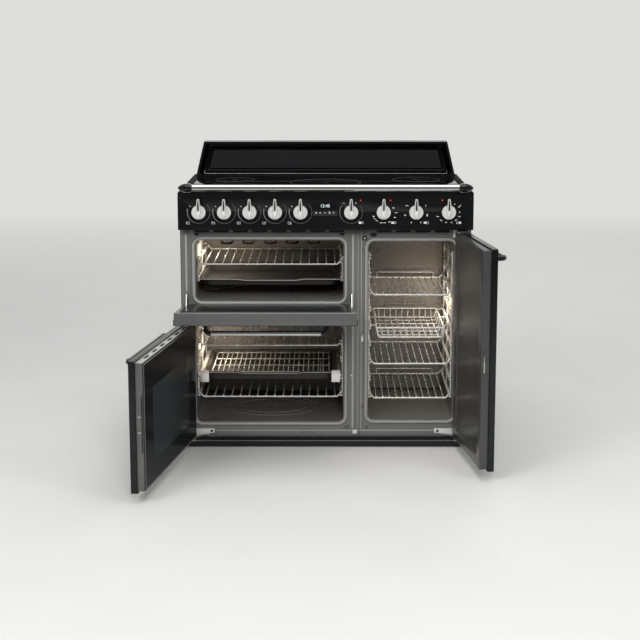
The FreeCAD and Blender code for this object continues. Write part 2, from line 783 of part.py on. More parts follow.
def make_fan(name, fan):
    """Fan wheel: a hub on its shaft, a rear disc and straight blades."""
    x, z = fan[0].value, fan[1].value
    rear = CAVITY_REAR.value - 3
    width = S["fan_width"].value
    front = rear - width
    along = Vector(0, 1, 0)
    hub_radius = 3 * S["shaft_radius"].value
    radius = S["fan_radius"].value
    sheet = S["cover_sheet"].value
    pieces = [
        Part.makeCylinder(hub_radius, width, Vector(x, front, z), along),
        Part.makeCylinder(radius, sheet, Vector(x, rear - sheet, z), along),
        Part.makeCylinder(
            S["shaft_radius"].value,
            CAVITY_REAR.value + S["motor_length"].value * 0.6 - front,
            Vector(x, front, z),
            along,
        ),
    ]
    for k in range(int(S["fan_blades"].value)):
        blade = Part.makeBox(radius - hub_radius + 2, width, sheet, Vector(hub_radius - 2, 0, 0))
        blade.rotate(Vector(), Vector(0, 1, 0), 360 * k / S["fan_blades"].value)
        blade.translate(Vector(x, front, z))
        pieces.append(blade)
    node(solid(welded(pieces)), name)


def make_elements():
    """Grill element under the upper ceiling and a ring element round each fan."""
    radius = S["element_radius"].value
    z = S["upper_cavity_high"].value - S["grill_drop"].value
    front = OVEN_FRONT.value + S["grill_front"].value
    rear = front + S["grill_length"].value
    pitch = S["grill_pitch"].value
    runs = int(S["grill_runs"].value)
    left = (S["left_cavity_left"].value + S["left_cavity_right"].value - pitch * (runs - 1)) / 2
    path = [(left, CAVITY_REAR.value, z)]
    for k in range(runs - 1):
        y = front if k % 2 == 0 else rear
        path.append((left + pitch * k, y, z))
        path.append((left + pitch * (k + 1), y, z))
    path.append((left + pitch * (runs - 1), CAVITY_REAR.value, z))
    elements = [solid(bent_rod(path, pitch * 0.45, radius))]
    for fan in (MAIN_FAN, TALL_FAN):
        y = (CAVITY_REAR + COVER_FRONT + S["cover_sheet"]).value / 2
        ring = Part.makeTorus(
            S["ring_radius"].value, radius, Vector(fan[0].value, y, fan[1].value), Vector(0, 1, 0)
        )
        legs = []
        for side in (-1, 1):
            place = fan[0].value + side * 14, fan[1].value + S["ring_radius"].value
            legs.append(rod((place[0], y, place[1]), (place[0], CAVITY_REAR.value, place[1]), radius))
        elements.append(solid(welded([ring, *legs])))
    node(gather(*elements), "heating_elements")


def make_lamps():
    """Round lamp glasses on the side walls."""
    lamps = []
    y = OVEN_FRONT + 110
    for wall, direction, z in (
        (S["left_cavity_left"], 1, S["upper_cavity_high"] - 50),
        (S["main_cavity_left"], 1, S["main_cavity_high"] - 90),
        (S["tall_cavity_right"], -1, S["tall_cavity_high"] - 240),
    ):
        start = wall if direction > 0 else wall - S["lamp_height"]
        lamps.append(cylinder("x", (y, z), S["lamp_radius"], start, start + S["lamp_height"]))
    node(gather(*lamps), "oven_lamps")


def ladder(wall, inwards, first_level, levels):
    """A side ladder: pairs of rungs on three posts that hook on the cavity wall."""
    radius = S["rung_radius"].value
    rung_x = wall + inwards * S["rung_in"].value
    post_x = wall + inwards * S["post_in"].value
    start, end = LADDER_START.value, LADDER_END.value
    low = first_level - S["rung_gap"].value
    high = first_level + S["level_pitch"].value * (levels - 1)
    wires = []
    for k in range(levels):
        z = first_level + S["level_pitch"].value * k
        for rung_z in (z, z - S["rung_gap"].value):
            wires.append(rod((rung_x, start, rung_z), (rung_x, end, rung_z), radius))
    for y in (start + 25, (start + end) / 2, end - 25):
        wires.append(rod((post_x, y, low - 8), (post_x, y, high + 8), radius))
        for z in (low - 4, high + 4):
            wires.append(rod((wall, y, z), (post_x, y, z), radius))
    return welded(wires)


def runner_places():
    """The X limits of the fixed and the moving runners on both sides of the main oven."""
    width, gap = S["runner_width"], S["runner_gap"]
    rung_face = S["rung_in"] + S["rung_radius"]
    left = S["main_cavity_left"] + rung_face
    right = S["left_cavity_right"] - rung_face
    return [
        ((left, left + width), (left + width + gap, left + width * 2 + gap), 1),
        ((right - width, right), (right - width * 2 - gap, right - width - gap), -1),
    ]


def make_ladders():
    """Side ladders of the three ovens, with the fixed runners of the main oven's tray."""
    pieces = []
    for mouth, level, levels in (
        (UPPER_MOUTH, "upper_level", "upper_levels"),
        (MAIN_MOUTH, "main_level", "main_levels"),
        (TALL_MOUTH, "tall_level", "tall_levels"),
    ):
        for wall, inwards in ((mouth[0].value, 1), (mouth[1].value, -1)):
            shape = ladder(wall, inwards, S[level].value, int(S[levels].value))
            pieces.append(solid(shape))
    top = S["main_tray_level"] - 2
    for (near, far), _, _ in runner_places():
        start = LADDER_START + 2
        pieces.append(box(near, far, start, LADDER_END - 10, top - S["runner_height"], top))
    node(gather(*pieces), "side_ladders")


def rail_height(level, steps):
    """Height of a rack's rail that lies on the lower rung of a pair."""
    rung = level + S["level_pitch"] * steps - S["rung_gap"]
    return rung + S["rung_radius"] + S["rail_radius"] + S["seat_gap"]


def rack(mouth, pitch, stop):
    """An oven rack with its rails at height 0: a bent frame wire, a rear wire and cross wires."""
    rail_z = 0
    radius = S["rail_radius"].value
    thin = S["wire_radius"].value
    dip = S["rack_dip"].value
    left = mouth[0].value + S["rail_in"].value
    right = mouth[1].value - S["rail_in"].value
    front, rear = RACK_START.value, RACK_END.value
    low = rail_z - dip
    bend = dip * 0.8
    frame = [(left, rear, rail_z), (left, front, rail_z), (left + dip, front, low)]
    frame += [(right - dip, front, low), (right, front, rail_z), (right, rear, rail_z)]
    back = rear - 6
    rear_wire = [(left, back, rail_z), (left + dip, back, low)]
    rear_wire += [(right - dip, back, low), (right, back, rail_z)]
    wires = [bent_rod(frame, bend / 2, radius), bent_rod(rear_wire, bend / 2, radius)]
    height = low + radius + thin - S["weld"].value
    for x in spread(left + dip + 8, right - dip - 8, pitch):
        wires.append(rod((x, front - 1, height), (x, back + 1, height), thin))
    if stop:
        inner = (right - left) * 0.12
        top = low + S["stop_height"].value
        loop = [(left + inner, back, low), (left + inner, back, top)]
        loop += [(right - inner, back, top), (right - inner, back, low)]
        wires.append(bent_rod(loop, bend / 2, thin))
    return welded(wires)


def make_racks():
    """The flat racks, each on the rungs of its level."""
    wide = S["wide_wire_pitch"].value
    narrow = S["wire_pitch"].value
    for name, mouth, level, steps, pitch, stop in (
        ("upper_rack", UPPER_MOUTH, S["upper_level"], 1, wide, False),
        ("main_rack", MAIN_MOUTH, S["main_level"], 3, wide, False),
        ("low_rack", MAIN_MOUTH, S["main_level"], 0, wide, False),
        ("tall_rack_top", TALL_MOUTH, S["tall_level"], 6, narrow, True),
        ("tall_rack_middle", TALL_MOUTH, S["tall_level"], 2, narrow, False),
        ("tall_rack_low", TALL_MOUTH, S["tall_level"], 0, narrow, True),
    ):
        item = solid(rack(mouth, pitch, stop))
        node(put(item, 0, 0, rail_height(level, steps)), name)


def make_basket():
    """Wire basket that hangs from two rails in the tall oven."""
    radius = S["rail_radius"].value
    thin = S["wire_radius"].value
    rail_z = rail_height(S["tall_level"], 4).value
    outer_left = TALL_MOUTH[0].value + S["rail_in"].value
    outer_right = TALL_MOUTH[1].value - S["rail_in"].value
    left = outer_left + S["basket_side"].value
    right = outer_right - S["basket_side"].value
    front, rear = RACK_START.value, RACK_END.value - 10
    rim = rail_z - S["basket_rim_drop"].value
    floor = rim - S["basket_depth"].value
    inset = 8
    bend = 10
    wires = []
    for x, side, hook in ((outer_left, left, 1), (outer_right, right, -1)):
        wires.append(rod((x, front, rail_z), (x, rear, rail_z), radius))
        for y in (front + 30, (front + rear) / 2, rear - 30):
            wires.append(rod((x, y, rail_z), (side + hook, y, rim), thin))
        wires.append(rod((side, front, rim), (side, rear, rim), radius))
    for y in (front, rear):
        loop = [(left, y, rim), (left + inset, y, floor), (right - inset, y, floor), (right, y, rim)]
        wires.append(bent_rod(loop, bend, radius))
        wires.append(rod((left, y, rim), (right, y, rim), radius))
    for x in spread(left + inset + 12, right - inset - 12, 22):
        path = [(x, front, rim), (x, front, floor), (x, rear, floor), (x, rear, rim)]
        wires.append(bent_rod(path, 4, thin))
    for y in spread(front + 45, rear - 45, 65):
        path = [(left, y, rim), (left + inset, y, floor - thin), (right - inset, y, floor - thin)]
        path.append((right, y, rim))
        wires.append(bent_rod(path, 6, thin))
    node(solid(welded(wires)), "tall_basket")


def tray(left, right, front, rear, rim_z, depth):
    """An enamelled tray: a flat rim round a pan with sloping sides."""
    t = S["tray_sheet"]
    slope = S["tray_draft"]
    rim = S["tray_rim"]
    low = (left + slope, right - slope, front + slope, rear - slope)
    mouth = (left, right, front, rear)
    outside = frustum(low, mouth, rim_z + t - depth, rim_z + t)
    inner_low = (low[0] + t, low[1] - t, low[2] + t, low[3] - t)
    inner_mouth = (left + t, right - t, front + t, rear - t)
    inside = frustum(inner_low, inner_mouth, rim_z + t * 2 - depth, rim_z + t)
    flange = box(left - rim, right + rim, front - rim, rear + rim, rim_z, rim_z + t)
    return cut(fuse(outside, flange), inside)


def make_trays():
    """The roasting tray of the upper oven and the deep tray of the main oven with its trivet."""
    rim = S["tray_rim"]
    edge = S["post_in"] + S["rung_radius"] + 1
    lift = S["rung_radius"] + S["seat_gap"] - S["rung_gap"]
    left = S["left_cavity_left"] + edge + rim
    right = S["left_cavity_right"] - edge - rim
    front = RACK_START + rim
    rear = RACK_END - rim
    rim_z = S["upper_level"] + lift
    node(tray(left, right, front, rear, rim_z, S["upper_tray_depth"]), "upper_tray")

    moving = [place[1] for place in runner_places()]
    left = moving[0][0] + rim
    right = moving[1][1] - rim
    rim_z = S["main_tray_level"]
    node(tray(left, right, front, rear, rim_z, S["main_tray_depth"]), "main_tray")

    thin = S["wire_radius"].value
    radius = S["rung_radius"].value
    margin = S["tray_draft"].value + 6
    x0, x1 = left.value + margin, right.value - margin
    y0, y1 = front.value + margin, rear.value - margin
    floor = rim_z.value + 2 * S["tray_sheet"].value - S["main_tray_depth"].value
    z = floor + S["grid_height"].value
    loop = [(x0, y1 + radius, z), (x0, y0, z), (x1, y0, z), (x1, y1 + radius, z)]
    # the cross wires are a little thinner than the loop and end inside it
    across = radius * 0.85
    wires = [bent_rod(loop, 14, radius), rod((x0, y1, z), (x1, y1, z), across)]
    for x in spread(x0 + 21, x1 - 21, 18):
        wires.append(rod((x, y0 - 0.3, z + radius), (x, y1 + 0.3, z + radius), thin))
    for y in (y0 + (y1 - y0) / 3, y0 + (y1 - y0) * 2 / 3):
        wires.append(rod((x0, y, z), (x1, y, z), across))
        for x in (x0 + 31.5, x1 - 31.5):
            wires.append(rod((x, y, floor), (x, y, z), thin * 0.9))
    node(solid(welded(wires)), "tray_grid")


def make_runners():
    """Moving halves of the telescopic runners, each with the bright plate at its front end."""
    top = S["main_tray_level"]
    height = S["runner_height"]
    end_rear = LADDER_START - 0.5
    end_front = end_rear - S["runner_end_sheet"]
    middle = top - height / 2 - 3
    pieces = []
    for _, (near, far), side in runner_places():
        bar = box(near, far, end_rear, LADDER_END - 25, top - height, top)
        outer = near - 10 if side > 0 else far + 10 - S["runner_end_width"]
        low = middle - S["runner_end_height"] / 2
        plate = box(
            outer,
            outer + S["runner_end_width"],
            end_front,
            end_rear,
            low,
            low + S["runner_end_height"],
        )
        pieces.append(fuse(bar, plate))
    node(gather(*pieces), "tray_runners")


# ---------------------------------------------------------------- doors


def door_skin(left, right, low, high, window):
    """Outer pan of a door: a front plate, open for its window, with returned edges."""
    t = S["skin_return"]
    outline = (left, right, low, high, sized(4))
    inside = (left + t, right - t, low + t, high - t, sized(2))
    plate_rear = DOOR_FACE + S["skin_sheet"]
    plate = (outline, DOOR_FACE, plate_rear, [window] if window else [], [])
    edge = (outline, plate_rear, DOOR_FACE + S["skin_depth"], [inside], [])
    return pressed(plate, edge)


def frame_limits(left, right, low, high):
    """Outer limits of a door frame inside its skin."""
    inset = S["frame_inset"]
    return left + inset, right - inset, low + S["frame_step"], high - inset


def door_frame(left, right, low, high):
    """Frame of a glazed door: four bars, with vent slots in the top one."""
    x0, x1, z0, z1 = frame_limits(left, right, low, high)
    bar = S["frame_bar"]
    front = DOOR_FACE + S["skin_depth"]
    rear = front + S["frame_depth"]
    outline = (x0, x1, z0, z1, sized(3))
    inside = (x0 + bar, x1 - bar, z0 + bar, z1 - bar, sized(6))
    ring = pressed((outline, front, rear, [inside], []))
    slots = []
    count = int(S["door_vents"].value)
    for k in range(count):
        middle = (x0 + x1) / 2 + S["door_vent_pitch"] * (k - (count - 1) / 2)
        half = S["door_vent_width"] / 2
        slots.append(
            box(middle - half, middle + half, front + 7, rear - 7, z1 - S["door_vent_depth"], z1 + 1)
        )
    return cut(ring, *slots)


def door_glass(left, right, low, high, window, inset):
    """Inner pane over the frame and outer pane behind the window of the skin."""
    x0, x1, z0, z1 = frame_limits(left, right, low, high)
    rear = DOOR_FACE + S["skin_depth"] + S["frame_depth"]
    g = S["glass_inset"]
    inner = (x0 + inset, x1 - inset, z0 + g, z1 - g, sized(6))
    outer = grown(window, S["window_lap"])
    front = DOOR_FACE + S["skin_sheet"]
    panes = [
        pressed((inner, rear, rear + S["glass_sheet"], [], [])),
        pressed((outer, front, front + S["glass_sheet"], [], [])),
    ]
    return gather(*panes)


def door_handle(middle, length, z, reach):
    """Handle: a round bar between two brackets that stand on the door's face."""
    y = DOOR_FACE - reach
    half = length / 2
    r = S["handle_radius"]
    bar = cylinder("x", (y, z), r, middle - half, middle + half)
    brackets = []
    for side in (-1, 1):
        end = middle + half * side
        tip = end + S["handle_end"] * side
        near, far = (end, tip) if side > 0 else (tip, end)
        sleeve = cylinder("x", (y, z), r, near, far)
        foot_far = tip - S["handle_post"] * side
        low, high = (foot_far, tip) if side > 0 else (tip, foot_far)
        foot = box(low, high, y, DOOR_FACE, z - r * 0.8, z + r * 0.8)
        brackets.append(fuse(sleeve, foot))
    return gather(bar, *brackets)


def flap_ear(x):
    """Ear of a flap hinge on the oven front, with the bore for the hinge pin."""
    y, z = S["flap_hinge_y"], S["flap_hinge_z"]
    half = S["ear_sheet"] / 2
    disc = cylinder("x", (y, z), S["ear_radius"], x - half, x + half)
    r = S["ear_radius"].value
    # the web between the disc round the pin and the foot on the oven front
    corners = [
        Vector(0, y.value - r * 0.7, z.value + r * 0.7),
        Vector(0, y.value + r * 0.7, z.value - r * 0.7),
        Vector(0, OVEN_FRONT.value, S["ear_low"].value),
        Vector(0, OVEN_FRONT.value, S["ear_high"].value),
        Vector(0, OVEN_FRONT.value - 16, S["ear_high"].value),
    ]
    web_face = Part.Face(Part.makePolygon([*corners, corners[0]]))
    web = web_face.extrude(Vector(S["ear_sheet"].value, 0, 0))
    web.translate(Vector(x.value - half.value, 0, 0))
    foot = box(x - 5, x + 5, OVEN_FRONT - S["sheet"], OVEN_FRONT, S["ear_low"], S["ear_high"])
    bore = cylinder("x", (y, z), S["pin_radius"] + S["running_clearance"], x - 10, x + 10)
    return cut(fuse(disc, solid(web), foot), bore)


def ear_places():
    """X of the flap's two hinge ears."""
    inset = S["ear_inset"]
    return S["door_left"] + inset, S["door_left"] + S["door_width"] - inset


def make_flap():
    """The drop-down door of the upper oven."""
    left = S["door_left"]
    right = left + S["door_width"]
    low, high = S["flap_low"], S["door_high"]
    margin = S["window_margin"]
    window = (
        left + margin,
        right - margin,
        low + S["flap_window_low"],
        high - S["window_high"],
        S["window_corner"],
    )
    slots = []
    hinges = []
    y, z = S["flap_hinge_y"], S["flap_hinge_z"]
    frame_front = DOOR_FACE + S["skin_depth"]
    for x in ear_places():
        side = S["ear_sheet"] / 2 + S["ear_clearance"]
        slots.append(
            box(x - side, x + side, frame_front - 1, OVEN_FRONT, low, S["ear_high"] + 5)
        )
        r = S["pin_radius"]
        pin = cylinder("x", (y, z), r, x - side - 5, x + side + 5)
        blocks = [
            box(x - side - 5, x - side, frame_front - 15, frame_front, z - 8, z + 8),
            box(x + side, x + side + 5, frame_front - 15, frame_front, z - 8, z + 8),
        ]
        hinges.append(fuse(pin, *blocks))
    frame = cut(door_frame(left, right, low, high), *slots)
    glass_inset = S["ear_inset"] + S["ear_sheet"]
    pieces = {
        "flap_skin": door_skin(left, right, low, high, window),
        "flap_frame": frame,
        "flap_glass": door_glass(left, right, low, high, window, glass_inset),
        "flap_handle": door_handle(
            LEFT_MIDDLE, S["handle_length"], high - S["handle_drop"], S["handle_reach"]
        ),
        "flap_hinges": gather(*hinges),
    }
    for name, item in pieces.items():
        node(swing(item, Vector(1, 0, 0), (y, z), S["flap_open"]), name)


def bearing(x, low, high, inner_end):
    """Block with the bore for a hinge pin, in the corner of a door skin."""
    y = S["side_hinge_y"]
    front = DOOR_FACE + S["skin_sheet"]
    rear = DOOR_FACE + S["skin_depth"]
    block = box(x - 5.9, x + 12, front, rear, low, high)
    radius = S["pin_radius"] + S["running_clearance"]
    bore = cylinder("z", (x, y), radius, low - inner_end, high + inner_end)
    return cut(block, bore)


def make_main_door():
    """The side-hung door of the main oven."""
    left = S["door_left"]
    right = left + S["door_width"]
    low, high = S["door_low"], S["main_door_high"]
    margin = S["window_margin"]
    window = (
        left + margin,
        right - margin,
        low + S["window_low"],
        high - S["window_high"],
        S["window_corner"],
    )
    x, y = S["main_hinge_x"], S["side_hinge_y"]
    t = S["skin_return"]
    way = cylinder("z", (x, y), S["pin_radius"] + 1, low - 1, high + 1)
    skin = cut(door_skin(left, right, low, high, window), way)
    depth = S["pin_reach"]
    fittings = [
        bearing(x, low + t, low + t + depth, 1),
        bearing(x, high - t - depth, high - t, 1),
    ]
    frame_right = right - S["frame_inset"]
    z = S["main_catch_z"]
    middle = DOOR_FACE + S["skin_depth"] + S["frame_depth"] / 2
    plate = box(frame_right, frame_right + 1.5, middle - 8, middle + 8, z - 58, z + 58)
    r = S["roller_radius"]
    rollers = []
    for side in (-1, 1):
        centre = z + S["roller_spread"] / 2 * side
        rollers.append(cylinder("y", (frame_right + r + 0.3, centre), r, middle - 5, middle + 5))
    fittings.append(fuse(plate, *rollers))
    pieces = {
        "main_door_skin": skin,
        "main_door_frame": door_frame(left, right, low, high),
        "main_door_glass": door_glass(left, right, low, high, window, S["glass_inset"]),
        "main_door_handle": door_handle(
            LEFT_MIDDLE, S["handle_length"], high - S["side_handle_drop"], S["side_handle_reach"]
        ),
        "main_door_fittings": gather(*fittings),
    }
    for name, item in pieces.items():
        node(swing(item, Vector(0, 0, 1), (x, y), -S["main_open"]), name)


def make_tall_door():
    """The side-hung solid door of the tall oven."""
    left = S["tall_door_left"]
    right = left + S["tall_door_width"]
    low, high = S["door_low"], S["door_high"]
    x, y = S["tall_hinge_x"], S["side_hinge_y"]
    t = S["skin_return"]
    way = cylinder("z", (x, y), S["pin_radius"] + 1, low - 1, high + 1)
    skin = cut(door_skin(left, right, low, high, None), way)
    x0, x1, z0, z1 = frame_limits(left, right, low, high)
    front = DOOR_FACE + S["skin_depth"]
    rear = front + S["frame_depth"] + S["glass_sheet"]
    sheet = S["liner_sheet"]
    edge = S["liner_emboss"]
    outline = (x0, x1, z0, z1, sized(4))
    inside = (x0 + sheet, x1 - sheet, z0 + sheet, z1 - sheet, sized(3))
    field = (x0 + edge, x1 - edge, z0 + edge, z1 - edge, sized(18))
    rim = (outline, front, rear - 4, [inside], [])
    border = (outline, rear - 4, rear, [field], [])
    floor = (outline, rear - 6, rear - 4, [], [])
    liner = pressed(rim, floor, border)
    depth = S["pin_reach"]
    catch_z = S["tall_catch_z"]
    middle = front + S["frame_depth"] / 2
    plate = box(x0 - 1.5, x0, middle - 8, middle + 8, catch_z - 45, catch_z + 45)
    fittings = [
        bearing(x, low + t, low + t + depth, 1),
        bearing(x, high - t - depth, high - t, 1),
        plate,
    ]
    pieces = {
        "tall_door_skin": skin,
        "tall_door_liner": liner,
        "tall_door_handle": door_handle(
            TALL_MIDDLE, S["tall_handle_length"], high - S["handle_drop"], S["side_handle_reach"]
        ),
        "tall_door_fittings": gather(*fittings),
    }
    for name, item in pieces.items():
        node(swing(item, Vector(0, 0, 1), (x, y), S["tall_open"]), name)


def hinge_bracket(x, outwards, width, arm_low, plate_low, plate_high, pin_low, pin_high):
    """Hinge of a side door: an arm out of the oven front, its plate and the upright pin."""
    y = S["side_hinge_y"]
    side = S["arm_side"]
    arm_high = arm_low + S["arm_sheet"]
    inner = x - outwards * (side + 22)
    near, far = (inner, x + side) if outwards > 0 else (x - side, inner)
    arm = box(near, far, y - side, OVEN_FRONT, arm_low, arm_high)
    end = x - outwards * (side + width)
    near, far = (end, x - outwards * side) if outwards > 0 else (x - outwards * side, end)
    plate = box(near, far, OVEN_FRONT - S["sheet"], OVEN_FRONT, plate_low, plate_high)
    pin = cylinder("z", (x, y), S["pin_radius"], pin_low, pin_high)
    return fuse(arm, plate, pin)


def make_fittings():
    """Hinge brackets, flap ears and door catches on the oven fronts."""
    gap = S["arm_gap"]
    t = S["arm_sheet"]
    reach = S["pin_reach"]
    low = S["door_low"]
    arm_low = low - gap - t
    foot = (S["hinge_plate_width"], arm_low, arm_low, arm_low + S["hinge_plate_height"])
    items = []
    seal_top = S["cavity_wall"] + S["seal_offset"] + S["seal_width"] + 0.6
    for x, outwards, door_top, mouth_top in (
        (S["main_hinge_x"], -1, S["main_door_high"], S["main_cavity_high"]),
        (S["tall_hinge_x"], 1, S["door_high"], S["tall_cavity_high"]),
    ):
        items.append(hinge_bracket(x, outwards, *foot, arm_low, low + reach))
        arm = door_top + gap
        head = (S["hinge_head_width"], arm, mouth_top + seal_top, arm + t)
        items.append(hinge_bracket(x, outwards, *head, door_top - reach, arm + t))
    for x in ear_places():
        items.append(flap_ear(x))
    catch_front = OVEN_FRONT - S["catch_reach"]
    main = (S["main_catch_x"], S["main_catch_z"])
    items.append(cylinder("y", main, 5, catch_front, OVEN_FRONT))
    x, z = S["tall_catch_x"], S["tall_catch_z"]
    items.append(box(x - 4, x + 4, catch_front, OVEN_FRONT, z - 15, z + 15))
    node(gather(*items), "carcass_fittings")


# ---------------------------------------------------------------- controls


def knob_places():
    """X of the nine knobs, left to right."""
    row_of_five = [S["hob_knob_start"] + S["hob_knob_pitch"] * k for k in range(5)]
    row_of_four = [S["oven_knob_start"] + S["oven_knob_pitch"] * k for k in range(4)]
    return row_of_five + row_of_four


def make_control_panel():
    """Hollow fascia, open at the rear, with a stepped top edge and holes for the spindles."""
    half = S["body_width"] / 2
    t = S["sheet"]
    step = S["panel_high"] - S["step_height"]
    lower = box(-half, half, DOOR_FACE, OVEN_FRONT, S["panel_low"], step)
    upper = box(-half, half, DOOR_FACE + S["step_in"], OVEN_FRONT, step, S["panel_high"])
    hollow_low = box(
        t - half, half - t, DOOR_FACE + t, OVEN_FRONT + 1, S["panel_low"] + t, step
    )
    hollow_high = box(
        t - half, half - t, DOOR_FACE + S["step_in"] + t, OVEN_FRONT + 1, step, S["panel_high"] - t
    )
    ways = []
    for x in knob_places():
        radius = S["spindle_radius"] + S["spindle_clearance"]
        ways.append(cylinder("y", (x, S["knob_z"]), radius, DOOR_FACE - 1, DOOR_FACE + t + 1))
    half_clock = S["clock_width"] / 2
    window = box(
        S["clock_x"] - half_clock,
        S["clock_x"] + half_clock,
        DOOR_FACE - 1,
        DOOR_FACE + t + 1,
        S["clock_low"],
        S["clock_low"] + S["clock_height"],
    )
    panel = cut(fuse(lower, upper), hollow_low, hollow_high, window, *ways)
    node(panel, "control_panel")


def make_clock():
    """Clock window, flush with the panel."""
    half = S["clock_width"] / 2
    x = S["clock_x"]
    low = S["clock_low"]
    item = box(
        x - half, x + half, DOOR_FACE, DOOR_FACE + S["clock_sheet"], low, low + S["clock_height"]
    )
    node(item, "clock_window")


def make_electrics():
    """Switches behind the knobs, the clock module, the fan motors and the terminal box."""
    t = S["sheet"]
    half = S["switch_side"] / 2
    z = S["knob_z"]
    items = []
    inside = DOOR_FACE + t
    bore_radius = S["spindle_radius"] + S["running_clearance"]
    for x in knob_places():
        body = box(x - half, x + half, inside, inside + S["switch_depth"], z - half, z + half)
        bore = cylinder("y", (x, z), bore_radius, inside - 1, DOOR_FACE + S["spindle_length"] + 1)
        items.append(cut(body, bore))
    start = DOOR_FACE + S["clock_sheet"]
    clock_half = S["clock_width"] / 2 - 3
    low = S["clock_low"] + 3
    items.append(
        box(
            S["clock_x"] - clock_half,
            S["clock_x"] + clock_half,
            start,
            start + S["clock_module"],
            low,
            low + S["clock_height"] - 6,
        )
    )
    rear = CAVITY_REAR + S["cavity_wall"]
    for fan in (MAIN_FAN, TALL_FAN):
        motor = cylinder("y", fan, S["motor_radius"], rear, rear + S["motor_length"])
        radius = S["shaft_radius"] + S["running_clearance"]
        bore = cylinder("y", fan, radius, rear - 1, rear + S["motor_length"] * 0.8)
        items.append(cut(motor, bore))
    x, z = S["inlet_x"], S["inlet_z"]
    items.append(box(x - 45, x + 45, BACK_INSIDE - 38, BACK_INSIDE, z - 30, z + 60))
    node(gather(*items), "electrics")


def make_knobs():
    """Nine knobs: a disc with a raised middle, a long lever and the spindle behind it."""
    z = S["knob_z"]
    back = DOOR_FACE - S["knob_gap"]
    disc_front = back - S["knob_disc"]
    crown_front = disc_front - S["knob_crown"]
    lever_front = disc_front - S["lever_depth"]
    for k, x in enumerate(knob_places(), start=1):
        disc = cylinder("y", (x, z), S["knob_radius"], disc_front, back)
        crown = cylinder("y", (x, z), S["knob_crown_radius"], crown_front, disc_front)
        tip_z = z + S["lever_tip"]
        heel_z = z - S["lever_heel"]
        tip = cylinder("y", (x, tip_z), S["lever_tip_radius"], lever_front, disc_front)
        heel = cylinder("y", (x, heel_z), S["lever_heel_radius"], lever_front, disc_front)
        wide, thin = S["lever_heel_radius"], S["lever_tip_radius"]
        web = frustum(
            (x - wide, x + wide, lever_front, disc_front),
            (x - thin, x + thin, lever_front, disc_front),
            heel_z,
            tip_z,
        )
        end = DOOR_FACE + S["spindle_length"]
        spindle = cylinder("y", (x, z), S["spindle_radius"], back, end)
        node(fuse(disc, crown, tip, heel, web, spindle), f"knob_{k}")


# ---------------------------------------------------------------- hob, front bar, splashback


def make_hob():
    """Hob surround with its recess, the glass, and the coils on their tray."""
    top = S["worktop_height"]
    low = top - S["hob_sheet"]
    body = box(-CASE_INSIDE, CASE_INSIDE, OVEN_FRONT, CASE_REAR, low, top)
    lip = box(-CASE_INSIDE, CASE_INSIDE, DOOR_FACE + S["step_in"], OVEN_FRONT, S["panel_high"], top)
    half = S["glass_width"] / 2
    fit = S["glass_fit"]
    front, rear = S["glass_front"], S["glass_rear"]
    seat = top - S["glass_recess"]
    recess = box(-half - fit, half + fit, front - fit, rear + fit, seat, top + 1)
    ledge = S["glass_ledge"]
    well = (ledge - half, half - ledge, front + ledge, rear - ledge)
    opening = box(*well, low - 1, top + 1)
    node(cut(fuse(body, lip), recess, opening), "hob_surround")

    outline = box(-half, half, front, rear, seat, seat + S["hob_glass_sheet"])
    node(outline, "hob_glass")

    coil_top = seat - S["coil_gap"]
    coil_low = coil_top - S["coil_height"]
    tray_plate = box(*well, coil_low - S["coil_tray"], coil_low)
    coils = [tray_plate]
    for x, y, radius in COIL_PLACES:
        outer = cylinder("z", (sized(x), sized(y)), radius, coil_low, coil_top)
        hole = cylinder("z", (sized(x), sized(y)), 18, coil_low - 1, coil_top + 1)
        coils.append(cut(outer, hole))
    node(gather(*coils), "induction_coils")


COIL_PLACES = [
    # x, y and radius of the five cooking zones
    (-330, -110, 85),
    (-330, 95, 70),
    (0, -10, 125),
    (330, -110, 70),
    (330, 95, 85),
]


def make_front_bar():
    """Towel bar along the front edge of the hob, between two leaf-shaped end caps."""
    half = S["bar_length"] / 2
    y, z = S["bar_y"], S["bar_z"]
    bar = cylinder("x", (y, z), S["bar_radius"], -half, half)
    items = [bar]
    for side in (-1, 1):
        middle = (half + S["cap_length"] / 2) * side
        leaf = add(
            "Part::Ellipsoid",
            Radius1=S["cap_height"] / 2,
            Radius2=S["cap_length"] / 2 + 3,
            Radius3=S["cap_depth"] / 2,
        )
        put(leaf, middle - side * 3, y, z)
        foot_half = S["cap_foot"] / 2
        foot = frustum(
            (middle - foot_half, middle + foot_half, y + 6, S["cap_foot_rear"]),
            (middle - foot_half, middle + foot_half, y - 2, S["cap_foot_rear"] - 34),
            S["worktop_height"],
            z + 6,
        )
        near, far = (half - 10, half) if side > 0 else (-half, 10 - half)
        trim = box(near, far, y - 30, y + 30, z - 30, z + 30)
        items.append(cut(fuse(leaf, foot), trim))
    node(gather(*items), "front_bar")


